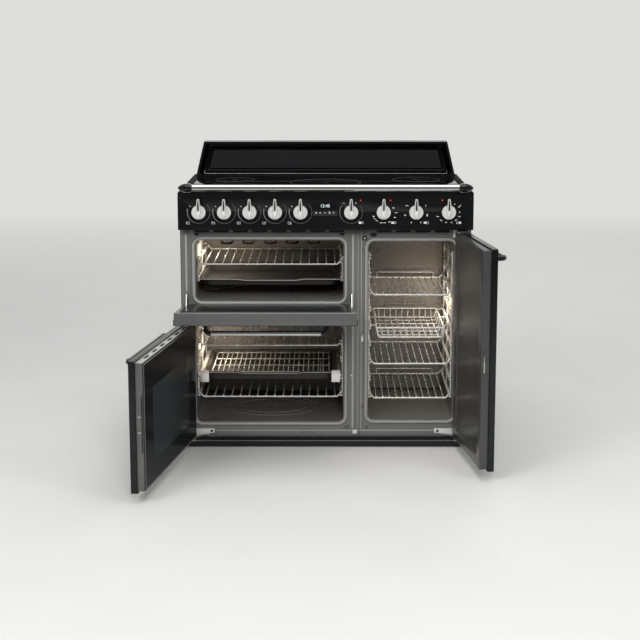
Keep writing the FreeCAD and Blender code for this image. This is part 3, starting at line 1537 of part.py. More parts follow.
def make_splashback():
    """Splashback: a hollow leaning shell, narrower at the top, with a raised plain field."""
    top = S["worktop_height"]
    high = top + S["back_height"]
    low_half = S["back_width"] / 2
    high_half = S["back_top_width"] / 2
    front = S["back_front"]
    lean = S["back_lean"]
    t = S["sheet"]
    shell = frustum(
        (-low_half, low_half, front, CASE_REAR),
        (-high_half, high_half, front + lean, CASE_REAR),
        top,
        high,
    )
    hollow = frustum(
        (t - low_half, low_half - t, front + t, CASE_REAR + 1),
        (t - high_half, high_half - t, front + lean + t, CASE_REAR + 1),
        top - 1,
        high - t,
    )
    slope = (low_half - high_half) / S["back_height"]
    tilt = lean / S["back_height"]
    field_low = S["field_low"]
    field_high = S["back_height"] - S["field_high"]
    low_field = low_half - slope * field_low - S["field_side"]
    high_field = low_half - slope * field_high - S["field_side"]
    out = S["field_height"]
    low_front = front + tilt * field_low
    high_front = front + tilt * field_high
    field = frustum(
        (-low_field, low_field, low_front - out, low_front + 1),
        (-high_field, high_field, high_front - out, high_front + 1),
        top + field_low,
        top + field_high,
    )
    node(fuse(cut(shell, hollow), field), "splashback")


# ---------------------------------------------------------------- build and write

make_base_pan()
make_feet()
make_plinth()
make_side_panels()
make_back_panel()
make_oven_fronts()
make_cavity("upper_cavity", UPPER_MOUTH)
make_cavity("main_cavity", MAIN_MOUTH, MAIN_FAN)
make_cavity("tall_cavity", TALL_MOUTH, TALL_FAN)
make_seals()
make_fan_covers()
make_fan("main_fan", MAIN_FAN)
make_fan("tall_fan", TALL_FAN)
make_elements()
make_lamps()
make_ladders()
make_racks()
make_basket()
make_trays()
make_runners()
make_flap()
make_main_door()
make_tall_door()
make_fittings()
make_control_panel()
make_clock()
make_electrics()
make_knobs()
make_hob()
make_front_bar()
make_splashback()
DOC.recompute()

for item in DOC.Objects:
    if "Invalid" in item.State or "Error" in item.State:
        raise RuntimeError(f"{item.Label} ({item.Name}) failed: {item.State}")

os.makedirs("parts", exist_ok=True)
for item in NODES:
    shape = item.Shape
    if shape.isNull() or not shape.isValid() or not shape.Solids:
        raise RuntimeError(f"{item.Label} has no valid shape")
    shape.exportStep(f"parts/{item.Label}.step")
print(f"{len(NODES)} sub-parts written")
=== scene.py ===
import json
import math

import bpy
from mathutils import Matrix, Vector


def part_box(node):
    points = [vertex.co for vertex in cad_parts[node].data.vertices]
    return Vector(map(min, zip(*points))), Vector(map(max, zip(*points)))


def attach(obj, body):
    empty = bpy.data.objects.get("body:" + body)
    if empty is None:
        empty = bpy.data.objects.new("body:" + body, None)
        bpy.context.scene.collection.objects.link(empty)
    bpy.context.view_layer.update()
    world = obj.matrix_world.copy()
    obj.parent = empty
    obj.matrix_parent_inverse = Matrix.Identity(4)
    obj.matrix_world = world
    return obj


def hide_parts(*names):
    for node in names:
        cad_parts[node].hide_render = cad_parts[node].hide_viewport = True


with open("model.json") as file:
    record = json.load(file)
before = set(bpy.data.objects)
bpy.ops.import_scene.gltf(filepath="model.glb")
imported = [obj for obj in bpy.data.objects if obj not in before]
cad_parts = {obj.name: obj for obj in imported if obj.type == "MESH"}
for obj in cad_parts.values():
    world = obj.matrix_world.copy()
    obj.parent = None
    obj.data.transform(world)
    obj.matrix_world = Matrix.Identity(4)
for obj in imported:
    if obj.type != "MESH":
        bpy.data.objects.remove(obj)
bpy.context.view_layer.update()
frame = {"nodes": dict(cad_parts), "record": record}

nodes = frame["nodes"]
MM = 0.001

# ------------
# The camera stands where the photographer's did: 4.9 m in front of the middle of
# the cooker at a height of 1.43 m, with a long lens, tilted down to the doors.
scene = bpy.context.scene
camera_data = bpy.data.cameras.new("camera")
camera_data.lens = 77.187
camera_data.shift_x = -0.0088
camera_data.shift_y = -0.0906
camera = bpy.data.objects.new("camera", camera_data)
camera.location = (0, -4.9, 1.428)
camera.rotation_euler = (math.radians(80.5), 0, 0)
scene.collection.objects.link(camera)
scene.camera = camera
scene.view_settings.view_transform = "Standard"


# ------------
# The studio: a pale painted floor and a pale surround, with soft lamps overhead, to
# both sides and over the camera. Round the camera the floor and the room are darker,
# which gives the gloss black and the chrome something to reflect.
def linear(colour):
    """An sRGB hex colour as linear RGBA."""
    parts = [int(colour[k : k + 2], 16) / 255 for k in (1, 3, 5)]
    return [c / 12.92 if c <= 0.04045 else ((c + 0.055) / 1.055) ** 2.4 for c in parts] + [1]


def add_node(tree, kind, inputs=None, to=None, output=None, **settings):
    """Adds a shader node. An input is a value or the socket linked to it; to is a
    socket that the node's output feeds. Gives back that output."""
    made = tree.nodes.new("ShaderNode" + kind)
    for name, value in settings.items():
        setattr(made, name, value)
    for name, value in (inputs or {}).items():
        socket = made.inputs[name] if isinstance(name, int) else next(
            s for s in made.inputs if s.enabled and s.name == name
        )
        if isinstance(value, bpy.types.NodeSocket):
            tree.links.new(value, socket)
        else:
            socket.default_value = value
    result = made.outputs[output] if output else next((s for s in made.outputs if s.enabled), None)
    if to:
        tree.links.new(result, to)
    return result


def new_finish(name, colour, roughness, metallic=0.0, **sockets):
    """Starts a material: its tree, its shader with plain values, and the object's coordinates."""
    finish = bpy.data.materials.new(name)
    finish.use_nodes = True
    shader = finish.node_tree.nodes["Principled BSDF"]
    shader.inputs["Base Color"].default_value = linear(colour)
    shader.inputs["Roughness"].default_value = roughness
    shader.inputs["Metallic"].default_value = metallic
    for socket, value in sockets.items():
        shader.inputs[socket.replace("_", " ")].default_value = value
    where = add_node(finish.node_tree, "TexCoord", output="Object")
    return finish, finish.node_tree, shader, where


def seen_rays(tree):
    """1 for what the camera sees, also mirrored or through glass, and 0 for lighting."""
    rays = add_node(tree, "LightPath").node.outputs
    seen = {0: rays["Is Camera Ray"], 1: rays["Is Glossy Ray"]}
    seen = add_node(tree, "Math", seen, operation="MAXIMUM")
    return add_node(tree, "Math", {0: seen, 1: rays["Is Transmission Ray"]}, operation="MAXIMUM")


world = bpy.data.worlds.new("studio")
world.use_nodes = True
scene.world = world
sky = world.node_tree
sky.nodes.clear()
seen = seen_rays(sky)
look = add_node(sky, "TexCoord", output="Generated")
look = add_node(sky, "SeparateXYZ", {"Vector": look}).node.outputs
ahead = add_node(sky, "MapRange", {"Value": look["Y"], "From Min": 0.0, "From Max": -0.35})
low_down = add_node(sky, "MapRange", {"Value": look["Z"], "From Min": 0.8, "From Max": 0.5})
room = add_node(sky, "Math", {0: ahead, 1: low_down}, operation="MULTIPLY")
wall = add_node(
    sky, "Mix", {"Factor": room, "A": linear("#dededd"), "B": linear("#77787a")}, data_type="RGBA"
)
dim = add_node(sky, "Background", {"Color": linear("#eceef0"), "Strength": 0.62})
bright = add_node(sky, "Background", {"Color": wall, "Strength": 1.0})
both = add_node(sky, "MixShader", {0: seen, 1: dim, 2: bright})
add_node(sky, "OutputWorld", {"Surface": both})

bpy.ops.object.select_all(action="DESELECT")
bpy.ops.mesh.primitive_plane_add(size=60)
floor = bpy.context.object
floor.name = "studio_floor"
# floor paint: matt and nearly even, and darker where it lies before the camera
floor_paint, tree, shader, where = new_finish("pale_floor_paint", "#bfbfbd", 0.7)
cloud = add_node(tree, "TexNoise", {"Vector": where, "Scale": 2.5, "Detail": 5.0})
tone = {"Factor": cloud, "A": linear("#bfbfbd"), "B": linear("#c7c7c5")}
tone = add_node(tree, "Mix", tone, data_type="RGBA")
depth = add_node(tree, "SeparateXYZ", {"Vector": where}).node.outputs["Y"]
before_camera = add_node(tree, "MapRange", {"Value": depth, "From Min": -2.1, "From Max": -3.4})
tone = {"Factor": before_camera, "A": tone, "B": linear("#7d7d7c")}
add_node(tree, "Mix", tone, to=shader.inputs["Base Color"], data_type="RGBA")
far = add_node(tree, "MapRange", {"Value": depth, "From Min": 0.9, "From Max": 6.0})
far = add_node(tree, "Math", {0: far, 1: seen_rays(tree)}, operation="MULTIPLY")
haze = add_node(tree, "Emission", {"Color": linear("#dededd"), "Strength": 1.0})
haze = add_node(tree, "MixShader", {0: far, 1: shader.outputs[0], 2: haze})
tree.links.new(haze, tree.nodes["Material Output"].inputs["Surface"])
floor.data.materials.append(floor_paint)

for name, spot, aim, size, power in (
    ("key_lamp", (-2.4, -3.2, 3.2), (0, 0, 0.5), 2.0, 78),
    ("fill_lamp", (3.0, -3.0, 2.2), (0, 0, 0.5), 1.8, 38),
    ("top_lamp", (0, -0.8, 3.4), (0, -0.2, 0.5), 2.2, 48),
    ("rear_lamp", (1.4, 3.6, 3.0), (0, 0, 0.6), 2.4, 55),
    ("front_lamp", (0.3, -4.7, 2.7), (0, 0, 0.3), 1.0, 105),
):
    lamp_data = bpy.data.lights.new(name, "AREA")
    lamp_data.size = size
    lamp_data.energy = power
    lamp = bpy.data.objects.new(name, lamp_data)
    lamp.location = spot
    lamp.rotation_euler = (Vector(aim) - Vector(spot)).to_track_quat("-Z", "Y").to_euler()
    lamp.visible_glossy = name == "top_lamp"
    scene.collection.objects.link(lamp)


# ------------
# The case: folded steel sheet. The sides are powder coated near-black and screwed
# on, the back and the base pan are bare zinc-coated sheet, and the plinth is coated
# matt black. The four feet are moulded nylon on threaded studs.
def varied_finish(
    name, colour, roughness, metallic=0.0, cloud=(5, 3), tones=None, gloss=None, span=(0, 1),
    flecks=None, grain=None, **sockets
):
    """A material whose cloud of noise (scale, detail) drifts between two tones and two
    roughnesses, over a span of the noise, with flecks (scale, from, to, strength, colour)
    and a grain of bumps (scale, strength, depth in mm). A scale of 500 draws 2 mm."""
    finish, tree, shader, where = new_finish(name, colour, roughness, metallic, **sockets)
    colour = linear(colour)
    if tones or gloss:
        drift = add_node(tree, "TexNoise", {"Vector": where, "Scale": cloud[0], "Detail": cloud[1]})
    if tones:
        colour = {"Factor": drift, "A": linear(tones[0]), "B": linear(tones[1])}
        colour = add_node(tree, "Mix", colour, data_type="RGBA")
    if flecks:
        spots = add_node(tree, "TexNoise", {"Vector": where, "Scale": flecks[0], "Detail": 1.0})
        spots = {"Value": spots, "From Min": flecks[1], "From Max": flecks[2], "To Max": flecks[3]}
        colour = {"Factor": add_node(tree, "MapRange", spots), "A": colour, "B": linear(flecks[4])}
        colour = add_node(tree, "Mix", colour, data_type="RGBA")
    if tones or flecks:
        tree.links.new(colour, shader.inputs["Base Color"])
    if gloss:
        wear = dict(zip(("From Min", "From Max", "To Min", "To Max"), (*span, *gloss)))
        add_node(tree, "MapRange", {"Value": drift, **wear}, to=shader.inputs["Roughness"])
    if grain:
        bumps = add_node(tree, "TexNoise", {"Vector": where, "Scale": grain[0]})
        bumps = {"Height": bumps, "Strength": grain[1], "Distance": grain[2] * MM}
        add_node(tree, "Bump", bumps, to=shader.inputs["Normal"])
    return finish


# powder coat: a fine pebble under 1 mm wide, drawn at 2 mm so that it shows
powder_coat = varied_finish(
    "black_powder_coated_steel", "#1b1b1d", 0.48, tones=("#161618", "#202023"),
    gloss=(0.42, 0.55), span=(0.3, 0.7), grain=(500, 0.25, 0.2),
)

# zinc-coated sheet: spangle crystals about 8 mm wide that differ in shade and gloss
zinc_sheet, tree, shader, where = new_finish("zinc_coated_sheet_steel", "#8f9193", 0.42, 0.85)
crystal = add_node(tree, "TexVoronoi", {"Vector": where, "Scale": 125.0}, output="Color")
crystal = add_node(tree, "SeparateColor", {"Color": crystal})
tone = {"Factor": crystal, "A": linear("#85888b"), "B": linear("#9da0a2")}
add_node(tree, "Mix", tone, to=shader.inputs["Base Color"], data_type="RGBA")
add_node(tree, "MapRange", {"Value": crystal, "To Min": 0.34, "To Max": 0.5}, to=shader.inputs["Roughness"])

# sprayed coat: matt, with clouds 50 mm wide where it lies thicker
plinth_coat = varied_finish(
    "matt_black_coated_plinth_steel", "#111112", 0.5,
    cloud=(20, 3), gloss=(0.42, 0.58), span=(0.3, 0.7), grain=(600, 0.2, 0.2),
)

# moulded nylon: the fine texture of the mould, under 1 mm, drawn at 1.5 mm
black_nylon = varied_finish("moulded_black_nylon", "#151515", 0.5, grain=(650, 0.25, 0.1))


def put_down():
    """Leaves edit mode."""
    bpy.ops.object.mode_set(mode="OBJECT")


def only(piece):
    """Leaves one object selected and active, out of edit mode."""
    if bpy.context.mode != "OBJECT":
        put_down()
    bpy.ops.object.select_all(action="DESELECT")
    piece.select_set(True)
    bpy.context.view_layer.objects.active = piece


def smooth(piece, angle=35):
    """Smooth shading up to an angle in degrees."""
    only(piece)
    bpy.ops.object.shade_smooth_by_angle(angle=math.radians(angle))


def modify(piece, kind, **settings):
    """Adds a modifier and applies it."""
    only(piece)
    modifier = piece.modifiers.new("shape", kind)
    for name, value in settings.items():
        setattr(modifier, name, value)
    bpy.ops.object.modifier_apply(modifier="shape")


def rounded(piece, width, segments=2, angle=40):
    """Rounds the sharp edges of a piece by a width in millimetres."""
    modify(piece, "BEVEL", width=width * MM, segments=segments, angle_limit=math.radians(angle))
    smooth(piece)
    return piece


slot_of = {part["node"]: part["material_slot"] for part in frame["record"]["subparts"]}
body_of = {node: body for body, held in frame["record"]["behaviour"]["bodies"].items() for node in held}


def finish_off(piece, finish, slot, body, *replaced):
    """Gives a new piece its finish and its body, and hides the nodes that it stands for. The slot is not
    used.
    """
    piece.data.materials.clear()
    piece.data.materials.append(finish)
    if replaced:
        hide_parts(*replaced)
    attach(piece, body)
    return piece


def from_solid(node, name, finish, rounding=0.0, angle=35):
    """The node's own shape with its corners welded and its edges rounded, in its place."""
    piece = bpy.data.objects.new(name, nodes[node].data.copy())
    piece.matrix_world = Matrix()
    piece.data.transform(nodes[node].matrix_world)
    scene.collection.objects.link(piece)
    only(piece)
    bpy.ops.mesh.customdata_custom_splitnormals_clear()
    bpy.ops.object.mode_set(mode="EDIT")
    bpy.ops.mesh.select_all(action="SELECT")
    bpy.ops.mesh.remove_doubles(threshold=0.00001)
    if rounding:
        bpy.ops.mesh.dissolve_limited(angle_limit=math.radians(0.5))
    put_down()
    if rounding:
        rounded(piece, rounding)
    smooth(piece, angle)
    return finish_off(piece, finish, slot_of[node], body_of[node], node)


def own_finish(node, finish):
    """A better finish for a node that keeps its own mesh."""
    for place in nodes[node].material_slots:
        place.material = finish


def turned(name, start, end, radius, end_radius=None, sides=32):
    """A round bar or disc between two points in millimetres."""
    start, end = Vector(start) * MM, Vector(end) * MM
    bpy.ops.object.select_all(action="DESELECT")
    along = end - start
    bpy.ops.mesh.primitive_cone_add(
        vertices=sides, radius1=radius * MM, radius2=(end_radius or radius) * MM, depth=along.length,
        location=(start + end) / 2, rotation=along.to_track_quat("Z", "Y").to_euler(),
    )
    bpy.ops.object.transform_apply()
    bpy.context.object.name = name
    return bpy.context.object


def block(name, low, high):
    """A box between two corners in millimetres."""
    low, high = Vector(low) * MM, Vector(high) * MM
    bpy.ops.object.select_all(action="DESELECT")
    bpy.ops.mesh.primitive_cube_add(size=1, location=(low + high) / 2)
    piece = bpy.context.object
    piece.name = name
    piece.scale = high - low
    bpy.ops.object.transform_apply()
    return piece


def scaled(piece, scale, shift):
    """Scales a piece from the origin and then moves it, in millimetres."""
    piece.data.transform(Matrix.Translation(Vector(shift) * MM) @ Matrix.Diagonal((*scale, 1)))
    return piece


def copied(piece, name, shift, scale=(1, 1, 1)):
    """A copy with its own mesh, scaled and moved, in millimetres."""
    twin = bpy.data.objects.new(name, piece.data.copy())
    scene.collection.objects.link(twin)
    return scaled(twin, scale, shift)


def joined(name, pieces):
    """Several meshes made one."""
    only(pieces[0])
    for piece in pieces:
        piece.select_set(True)
    bpy.ops.object.join()
    bpy.context.object.name = name
    return bpy.context.object


from_solid("side_panels", "case_sides", powder_coat, 0.5)
from_solid("back_panel", "case_back", zinc_sheet, 0.3)
from_solid("base_pan", "case_base", zinc_sheet, 0.5)
from_solid("plinth", "case_plinth", plinth_coat, 0.7)
# a thin strip of zinc sheet along the plinth's top edge paints the light line of that edge: a painted
# highlight
edge_highlight = rounded(block("plinth_edge_highlight_strip", (-489, -281.2, 22), (489, -279, 24.6)), 0.5)
finish_off(edge_highlight, zinc_sheet, "zinc_steel", "carcass")
from_solid("feet", "levelling_feet", black_nylon, 0.8)
own_finish("electrics", black_nylon)
own_finish("main_fan", zinc_sheet)
own_finish("tall_fan", zinc_sheet)

screw = rounded(turned("side_screw", (499, 0, 0), (499.8, 0, 0), 5, 4), 0.3)
screws = []
for y in (-150, 60, 270):
    for z in (60, 840):
        screws.append(copied(screw, "side_screw", (0, y, z)))
        screws.append(copied(screw, "side_screw", (0, y, z), (-1, 1, 1)))
        screws[-1].data.flip_normals()
bpy.data.objects.remove(screw)
finish_off(joined("case_side_screws", screws), zinc_sheet, "zinc_steel", "carcass")

# ------------
# The oven fronts and cavities: steel sheet with vitreous enamel, fired grey on the
# fronts and darker inside. The fronts have a pressed band beside each left door and
# a folded rail along the foot.

# enamel: light specks near 1 mm, and a slow orange-peel ripple 6 mm wide
front_enamel = varied_finish(
    "grey_vitreous_enamel", "#5f5f5d", 0.3, tones=("#5b5b59", "#646462"),
    flecks=(900, 0.62, 0.7, 0.3, "#83837f"), gloss=(0.25, 0.36), span=(0.3, 0.7), grain=(160, 0.1, 0.3),
)

# the ovens' enamel: brown-grey, with flecks of 1.6 mm that show in the bulbs' light
cavity_enamel = varied_finish(
    "speckled_oven_enamel", "#504d4a", 0.3, cloud=(6, 3), tones=("#565350", "#625f5b"),
    flecks=(620, 0.6, 0.68, 0.6, "#a19d97"), gloss=(0.24, 0.38), span=(0.3, 0.7), grain=(140, 0.14, 0.4),
)

FRONT = -245
for node in ("front_left", "front_right"):
    from_solid(node, "enamelled_" + node, front_enamel, 0.5)
for node in ("upper_cavity", "main_cavity", "tall_cavity"):
    from_solid(node, "enamelled_" + node, cavity_enamel, 0, 50)
from_solid("fan_covers", "perforated_fan_covers", cavity_enamel, 0, 40)


def pick(piece, kind, test=lambda *place: True):
    """Opens a piece in edit mode with its points, edges or faces selected by a test of
    their middle in millimetres and of an edge's direction or a face's normal."""
    only(piece)
    bpy.ops.object.mode_set(mode="EDIT")
    bpy.ops.mesh.select_mode(type=kind)
    bpy.ops.mesh.select_all(action="DESELECT")
    put_down()
    mesh = piece.data
    if kind == "VERT":
        for point in mesh.vertices:
            point.select = test(point.co / MM)
    elif kind == "EDGE":
        for edge in mesh.edges:
            first, last = (mesh.vertices[k].co / MM for k in edge.vertices)
            edge.select = test((first + last) / 2, (last - first).normalized())
    else:
        for face in mesh.polygons:
            face.select = test(face.center / MM, face.normal)
    bpy.ops.object.mode_set(mode="EDIT")


def sink(inset, depth):
    """Insets the picked faces and moves them back, in millimetres."""
    bpy.ops.mesh.inset(thickness=inset * MM)
    bpy.ops.transform.translate(value=(0, depth * MM, 0))


# the raised bands, the seam edges and the rail edges are in a lighter grey enamel: painted highlight where
# their edges catch the light
highlight_enamel = varied_finish(
    "light_grey_enamel_painted_highlight", "#92928f", 0.22, tones=("#8a8a87", "#9b9b98")
)

for name, left, right, depth, low, high in (
    ("left_pressed_band", -483, -475, 3.4, 545, 748),
    ("middle_pressed_band", 90, 98, 3.4, 58, 748),
    ("seam_edge_left", 110.5, 112.5, 1.6, 56, 786),
    ("seam_edge_right", 121.5, 124.5, 2.2, 56, 786),
    ("left_rail_edge", -384, 116.8, 4.6, 48.5, 52.5),
    ("right_rail_edge", 118.2, 440, 4.6, 48.5, 52.5),
    ("left_foot_rail", -384, 116.8, 3.4, 29, 52),
    ("right_foot_rail", 118.2, 440, 3.4, 29, 52),
):
    band = block(name, (left, FRONT - depth, low), (right, FRONT, high))
    pick(band, "EDGE", lambda middle, along: middle.y < FRONT - 1)
    bpy.ops.mesh.bevel(offset=min(3.2, (right - left) * 0.4, (high - low) * 0.4) * MM, segments=4)
    put_down()
    smooth(band, 50)
    finish_off(band, front_enamel if "foot" in name else highlight_enamel, "front_enamel", "carcass")

# blued steel: dark and half bright, worn in patches of 3 mm; it also stands as painted shade inside holes
# and slots
dark_steel_and_hole_shade = varied_finish(
    "blackened_steel_and_painted_hole_shade", "#2a2a2a", 0.35, 0.6, cloud=(300, 2), gloss=(0.28, 0.45)
)


def sunk(piece, inset, depth):
    """Lets the front face of a fixing lie deeper than its rim."""
    pick(piece, "FACE", lambda middle, normal: normal.y < -0.9)
    sink(inset, depth)
    put_down()
    return piece


# screws, locating holes and washers of the fronts, from the photograph. The locating holes are dark ovals
# that paint the shade inside them, and the screw heads take the lighter enamel of the painted highlights
fixings, heads = [], []
for x, z, radius in (
    (134.3, 731.6, 9), (129, 689, 4), (128.6, 135.7, 5), (78, 62, 5),
    (70.3, 60.7, 5), (144.4, 60.7, 5), (-471.6, 758, 5), (83.2, 758, 5), (452, 744, 9),
):
    washer = turned("washer", (x, FRONT, z), (x, FRONT - 1.6, z), radius, radius - 0.6)
    fixings.append(sunk(washer, radius * 0.3, 1.1))
    head = turned("head", (x, FRONT - 0.3, z), (x, FRONT - 1.9, z), radius * 0.45, sides=16)
    heads.append(rounded(head, 0.3))
for x, z, wide, high in ((-442, 745.5, 9, 5), (57, 745.5, 9, 5), (164.3, 743.6, 12, 7)):
    oval = turned("oval", (0, FRONT, 0), (0, FRONT - 1.6, 0), 1, 0.9)
    fixings.append(sunk(scaled(oval, (wide, 1, high), (x, 0, z)), 1.6, 1.2))
fixings = joined("front_fixings", fixings)
smooth(fixings)
finish_off(fixings, dark_steel_and_hole_shade, "chrome", "carcass")
finish_off(joined("front_screw_heads", heads), highlight_enamel, "chrome", "carcass")

# a black baffle behind the vent slots keeps them dark: a dark sheet that stands in for the shade inside
# them
vent_shade_sheet = rounded(block("vent_shade_baffle", (-470, FRONT + 6, 742), (455, FRONT + 9, 766)), 0.8)
finish_off(vent_shade_sheet, powder_coat, "case_steel", "carcass")

# ------------
# The door seals: a rope of braided glass fibre round each oven mouth. From a step
# away each is a smooth pale bead. It is a tube led round a rounded rectangle.

# braid: strands 2 mm apart at 45 degrees to the rope
seal_braid, tree, shader, where = new_finish("braided_glass_fibre_rope", "#9c9c98", 0.7)
turn = add_node(tree, "Mapping", {"Vector": where, "Rotation": (0.3, math.radians(45), 0)})
strand = add_node(tree, "TexWave", {"Vector": turn, "Scale": 160.0})
tone = {"Factor": strand, "A": linear("#757572"), "B": linear("#a2a29e")}
add_node(tree, "Mix", tone, to=shader.inputs["Base Color"], data_type="RGBA")
add_node(tree, "Bump", {"Height": strand, "Strength": 0.5, "Distance": 0.0005}, to=shader.inputs["Normal"])


def tube(name, points, radius, closed=False, bend=0.0, sides=4, sizes=None):
    """A round bar along points in millimetres, with bends of a given radius at its
    corners. Sizes scale its radius point by point."""
    route = [Vector(p) for p in points]
    path = []
    for k, corner in enumerate(route):
        if bend and (closed or 0 < k < len(route) - 1):
            come = (route[k - 1] - corner).normalized()
            go = (route[(k + 1) % len(route)] - corner).normalized()
            half = come.angle(go) / 2
            centre = corner + (come + go).normalized() * (bend / math.sin(half))
            first = corner + come * (bend / math.tan(half)) - centre
            last = corner + go * (bend / math.tan(half)) - centre
            path += [centre + first.lerp(last, step / 8).normalized() * bend for step in range(9)]
        else:
            path.append(corner)
    curve = bpy.data.curves.new(name, "CURVE")
    line = curve.splines.new("POLY")
    line.points.add(len(path) - 1)
    for k, place in enumerate(path):
        line.points[k].co = (*(place * MM), 1)
        line.points[k].radius = sizes[k] if sizes else 1
    line.use_cyclic_u = closed
    curve.dimensions = "3D"
    curve.bevel_depth = radius * MM
    curve.bevel_resolution = sides
    curve.use_fill_caps = not closed
    piece = bpy.data.objects.new(name, curve)
    scene.collection.objects.link(piece)
    only(piece)
    bpy.ops.object.convert(target="MESH")
    piece = bpy.context.object
    bpy.ops.object.mode_set(mode="EDIT")
    bpy.ops.mesh.select_all(action="SELECT")
    bpy.ops.mesh.remove_doubles(threshold=0.00001)
    bpy.ops.mesh.normals_make_consistent(inside=False)
    put_down()
    smooth(piece, 50)
    return piece


def ellipse(x, y, wide, deep, count):
    """Points round a level ellipse, in millimetres."""
    turns = [math.tau * k / count for k in range(count)]
    return [(x + wide * math.cos(turn), y + deep * math.sin(turn), 0) for turn in turns]


# the two oval ribs pressed in the main oven's floor
ribs = [ellipse(-194, -40, *size, 64) for size in ((168, 128), (128, 92))]
ribs = [tube("rib", rib, 3.2, closed=True, sides=2) for rib in ribs]
ribs = scaled(joined("pressed_floor_ribs", ribs), (1, 1, 0.6), (0, 0, 83.2))
finish_off(ribs, cavity_enamel, "cavity_enamel", "carcass")

# the grommet of the cable inlet in the back
loop = [(x, 298, z) for x, z, level in ellipse(380, 120, 10, 10, 40)]
finish_off(tube("cable_grommet", loop, 1.7, closed=True), black_nylon, "black_plastic", "carcass")

for oven, left, right, low, high in (
    ("upper", -446, 62, 514, 724), ("main", -450, 62, 83, 428), ("tall", 148, 443, 90, 720)
):
    # the rope's middle runs 8 mm outside the mouth
    left, right, low, high = left - 8, right + 8, low - 8, high + 8
    ring = [(left, 0, low), (right, 0, low), (right, 0, high), (left, 0, high)]
    seal = tube(oven + "_rope_seal", ring, 5, closed=True, bend=28, sides=3)
    scaled(seal, (1, 0.77, 1), (0, FRONT - 3.85, 0))
    finish_off(seal, seal_braid, "seal_braid", "carcass", *(["door_seals"] if oven == "upper" else []))

# ------------
# The wirework: ladders, racks, the basket and the trivet are steel wire, resistance
# welded and chrome plated. The telescopic runners are rolled bright steel, and the
# heating elements are tubes whose steel has browned in its first firing.

# chrome plate over drawn wire: bright, dulled here and there by the first firings
chrome_wire = varied_finish(
    "chrome_plated_wire", "#e2e0da", 0.24, 0.55,
    cloud=(30, 3), tones=("#d8d6d0", "#eae8e2"), gloss=(0.18, 0.34),
)
for node in (
    "side_ladders", "upper_rack", "main_rack", "low_rack",
    "tall_rack_top", "tall_rack_middle", "tall_rack_low", "tall_basket", "tray_grid",
):
    from_solid(node, "chromed_" + node, chrome_wire, 0, 60)

# rolled steel: satin, with long streaks along its rolling
rolled_steel, tree, shader, where = new_finish("bright_rolled_steel", "#e4e3df", 0.34, 0.6)
streak = add_node(tree, "Mapping", {"Vector": where, "Scale": (400, 6, 400)})
streak = add_node(tree, "TexNoise", {"Vector": streak, "Scale": 1.0})
add_node(tree, "MapRange", {"Value": streak, "To Min": 0.22, "To Max": 0.4}, to=shader.inputs["Roughness"])
from_solid("tray_runners", "telescopic_runners", rolled_steel, 0.5)

# firing oxide: brown-black in clouds 25 mm wide
element_oxide = varied_finish(
    "oxidised_element_tube", "#3b3532", 0.42, 0.7, cloud=(40, 3), tones=("#2c2725", "#4d4540")
)
from_solid("heating_elements", "element_tubes", element_oxide, 0, 60)

# ------------
# The trays: deep-drawn steel, enamelled black-grey, with round corners, a rolled
# rim and a shallow dip in the middle of the front rim, to see and to grip by.

# tray enamel: near black, with pale flecks of 1.6 mm and an orange-peel ripple
tray_enamel = varied_finish(
    "dark_tray_enamel", "#333231", 0.26, flecks=(620, 0.62, 0.7, 0.4, "#7c7a76"), grain=(140, 0.12, 0.4)
)

# the rolled rim: lighter where the enamel runs thin over the bend, and painted lighter still as the rim's
# highlight
rim_enamel_and_highlight = varied_finish(
    "thin_rim_enamel_and_painted_highlight", "#8d8a84", 0.2, 0.3, cloud=(60, 2), gloss=(0.14, 0.28)
)

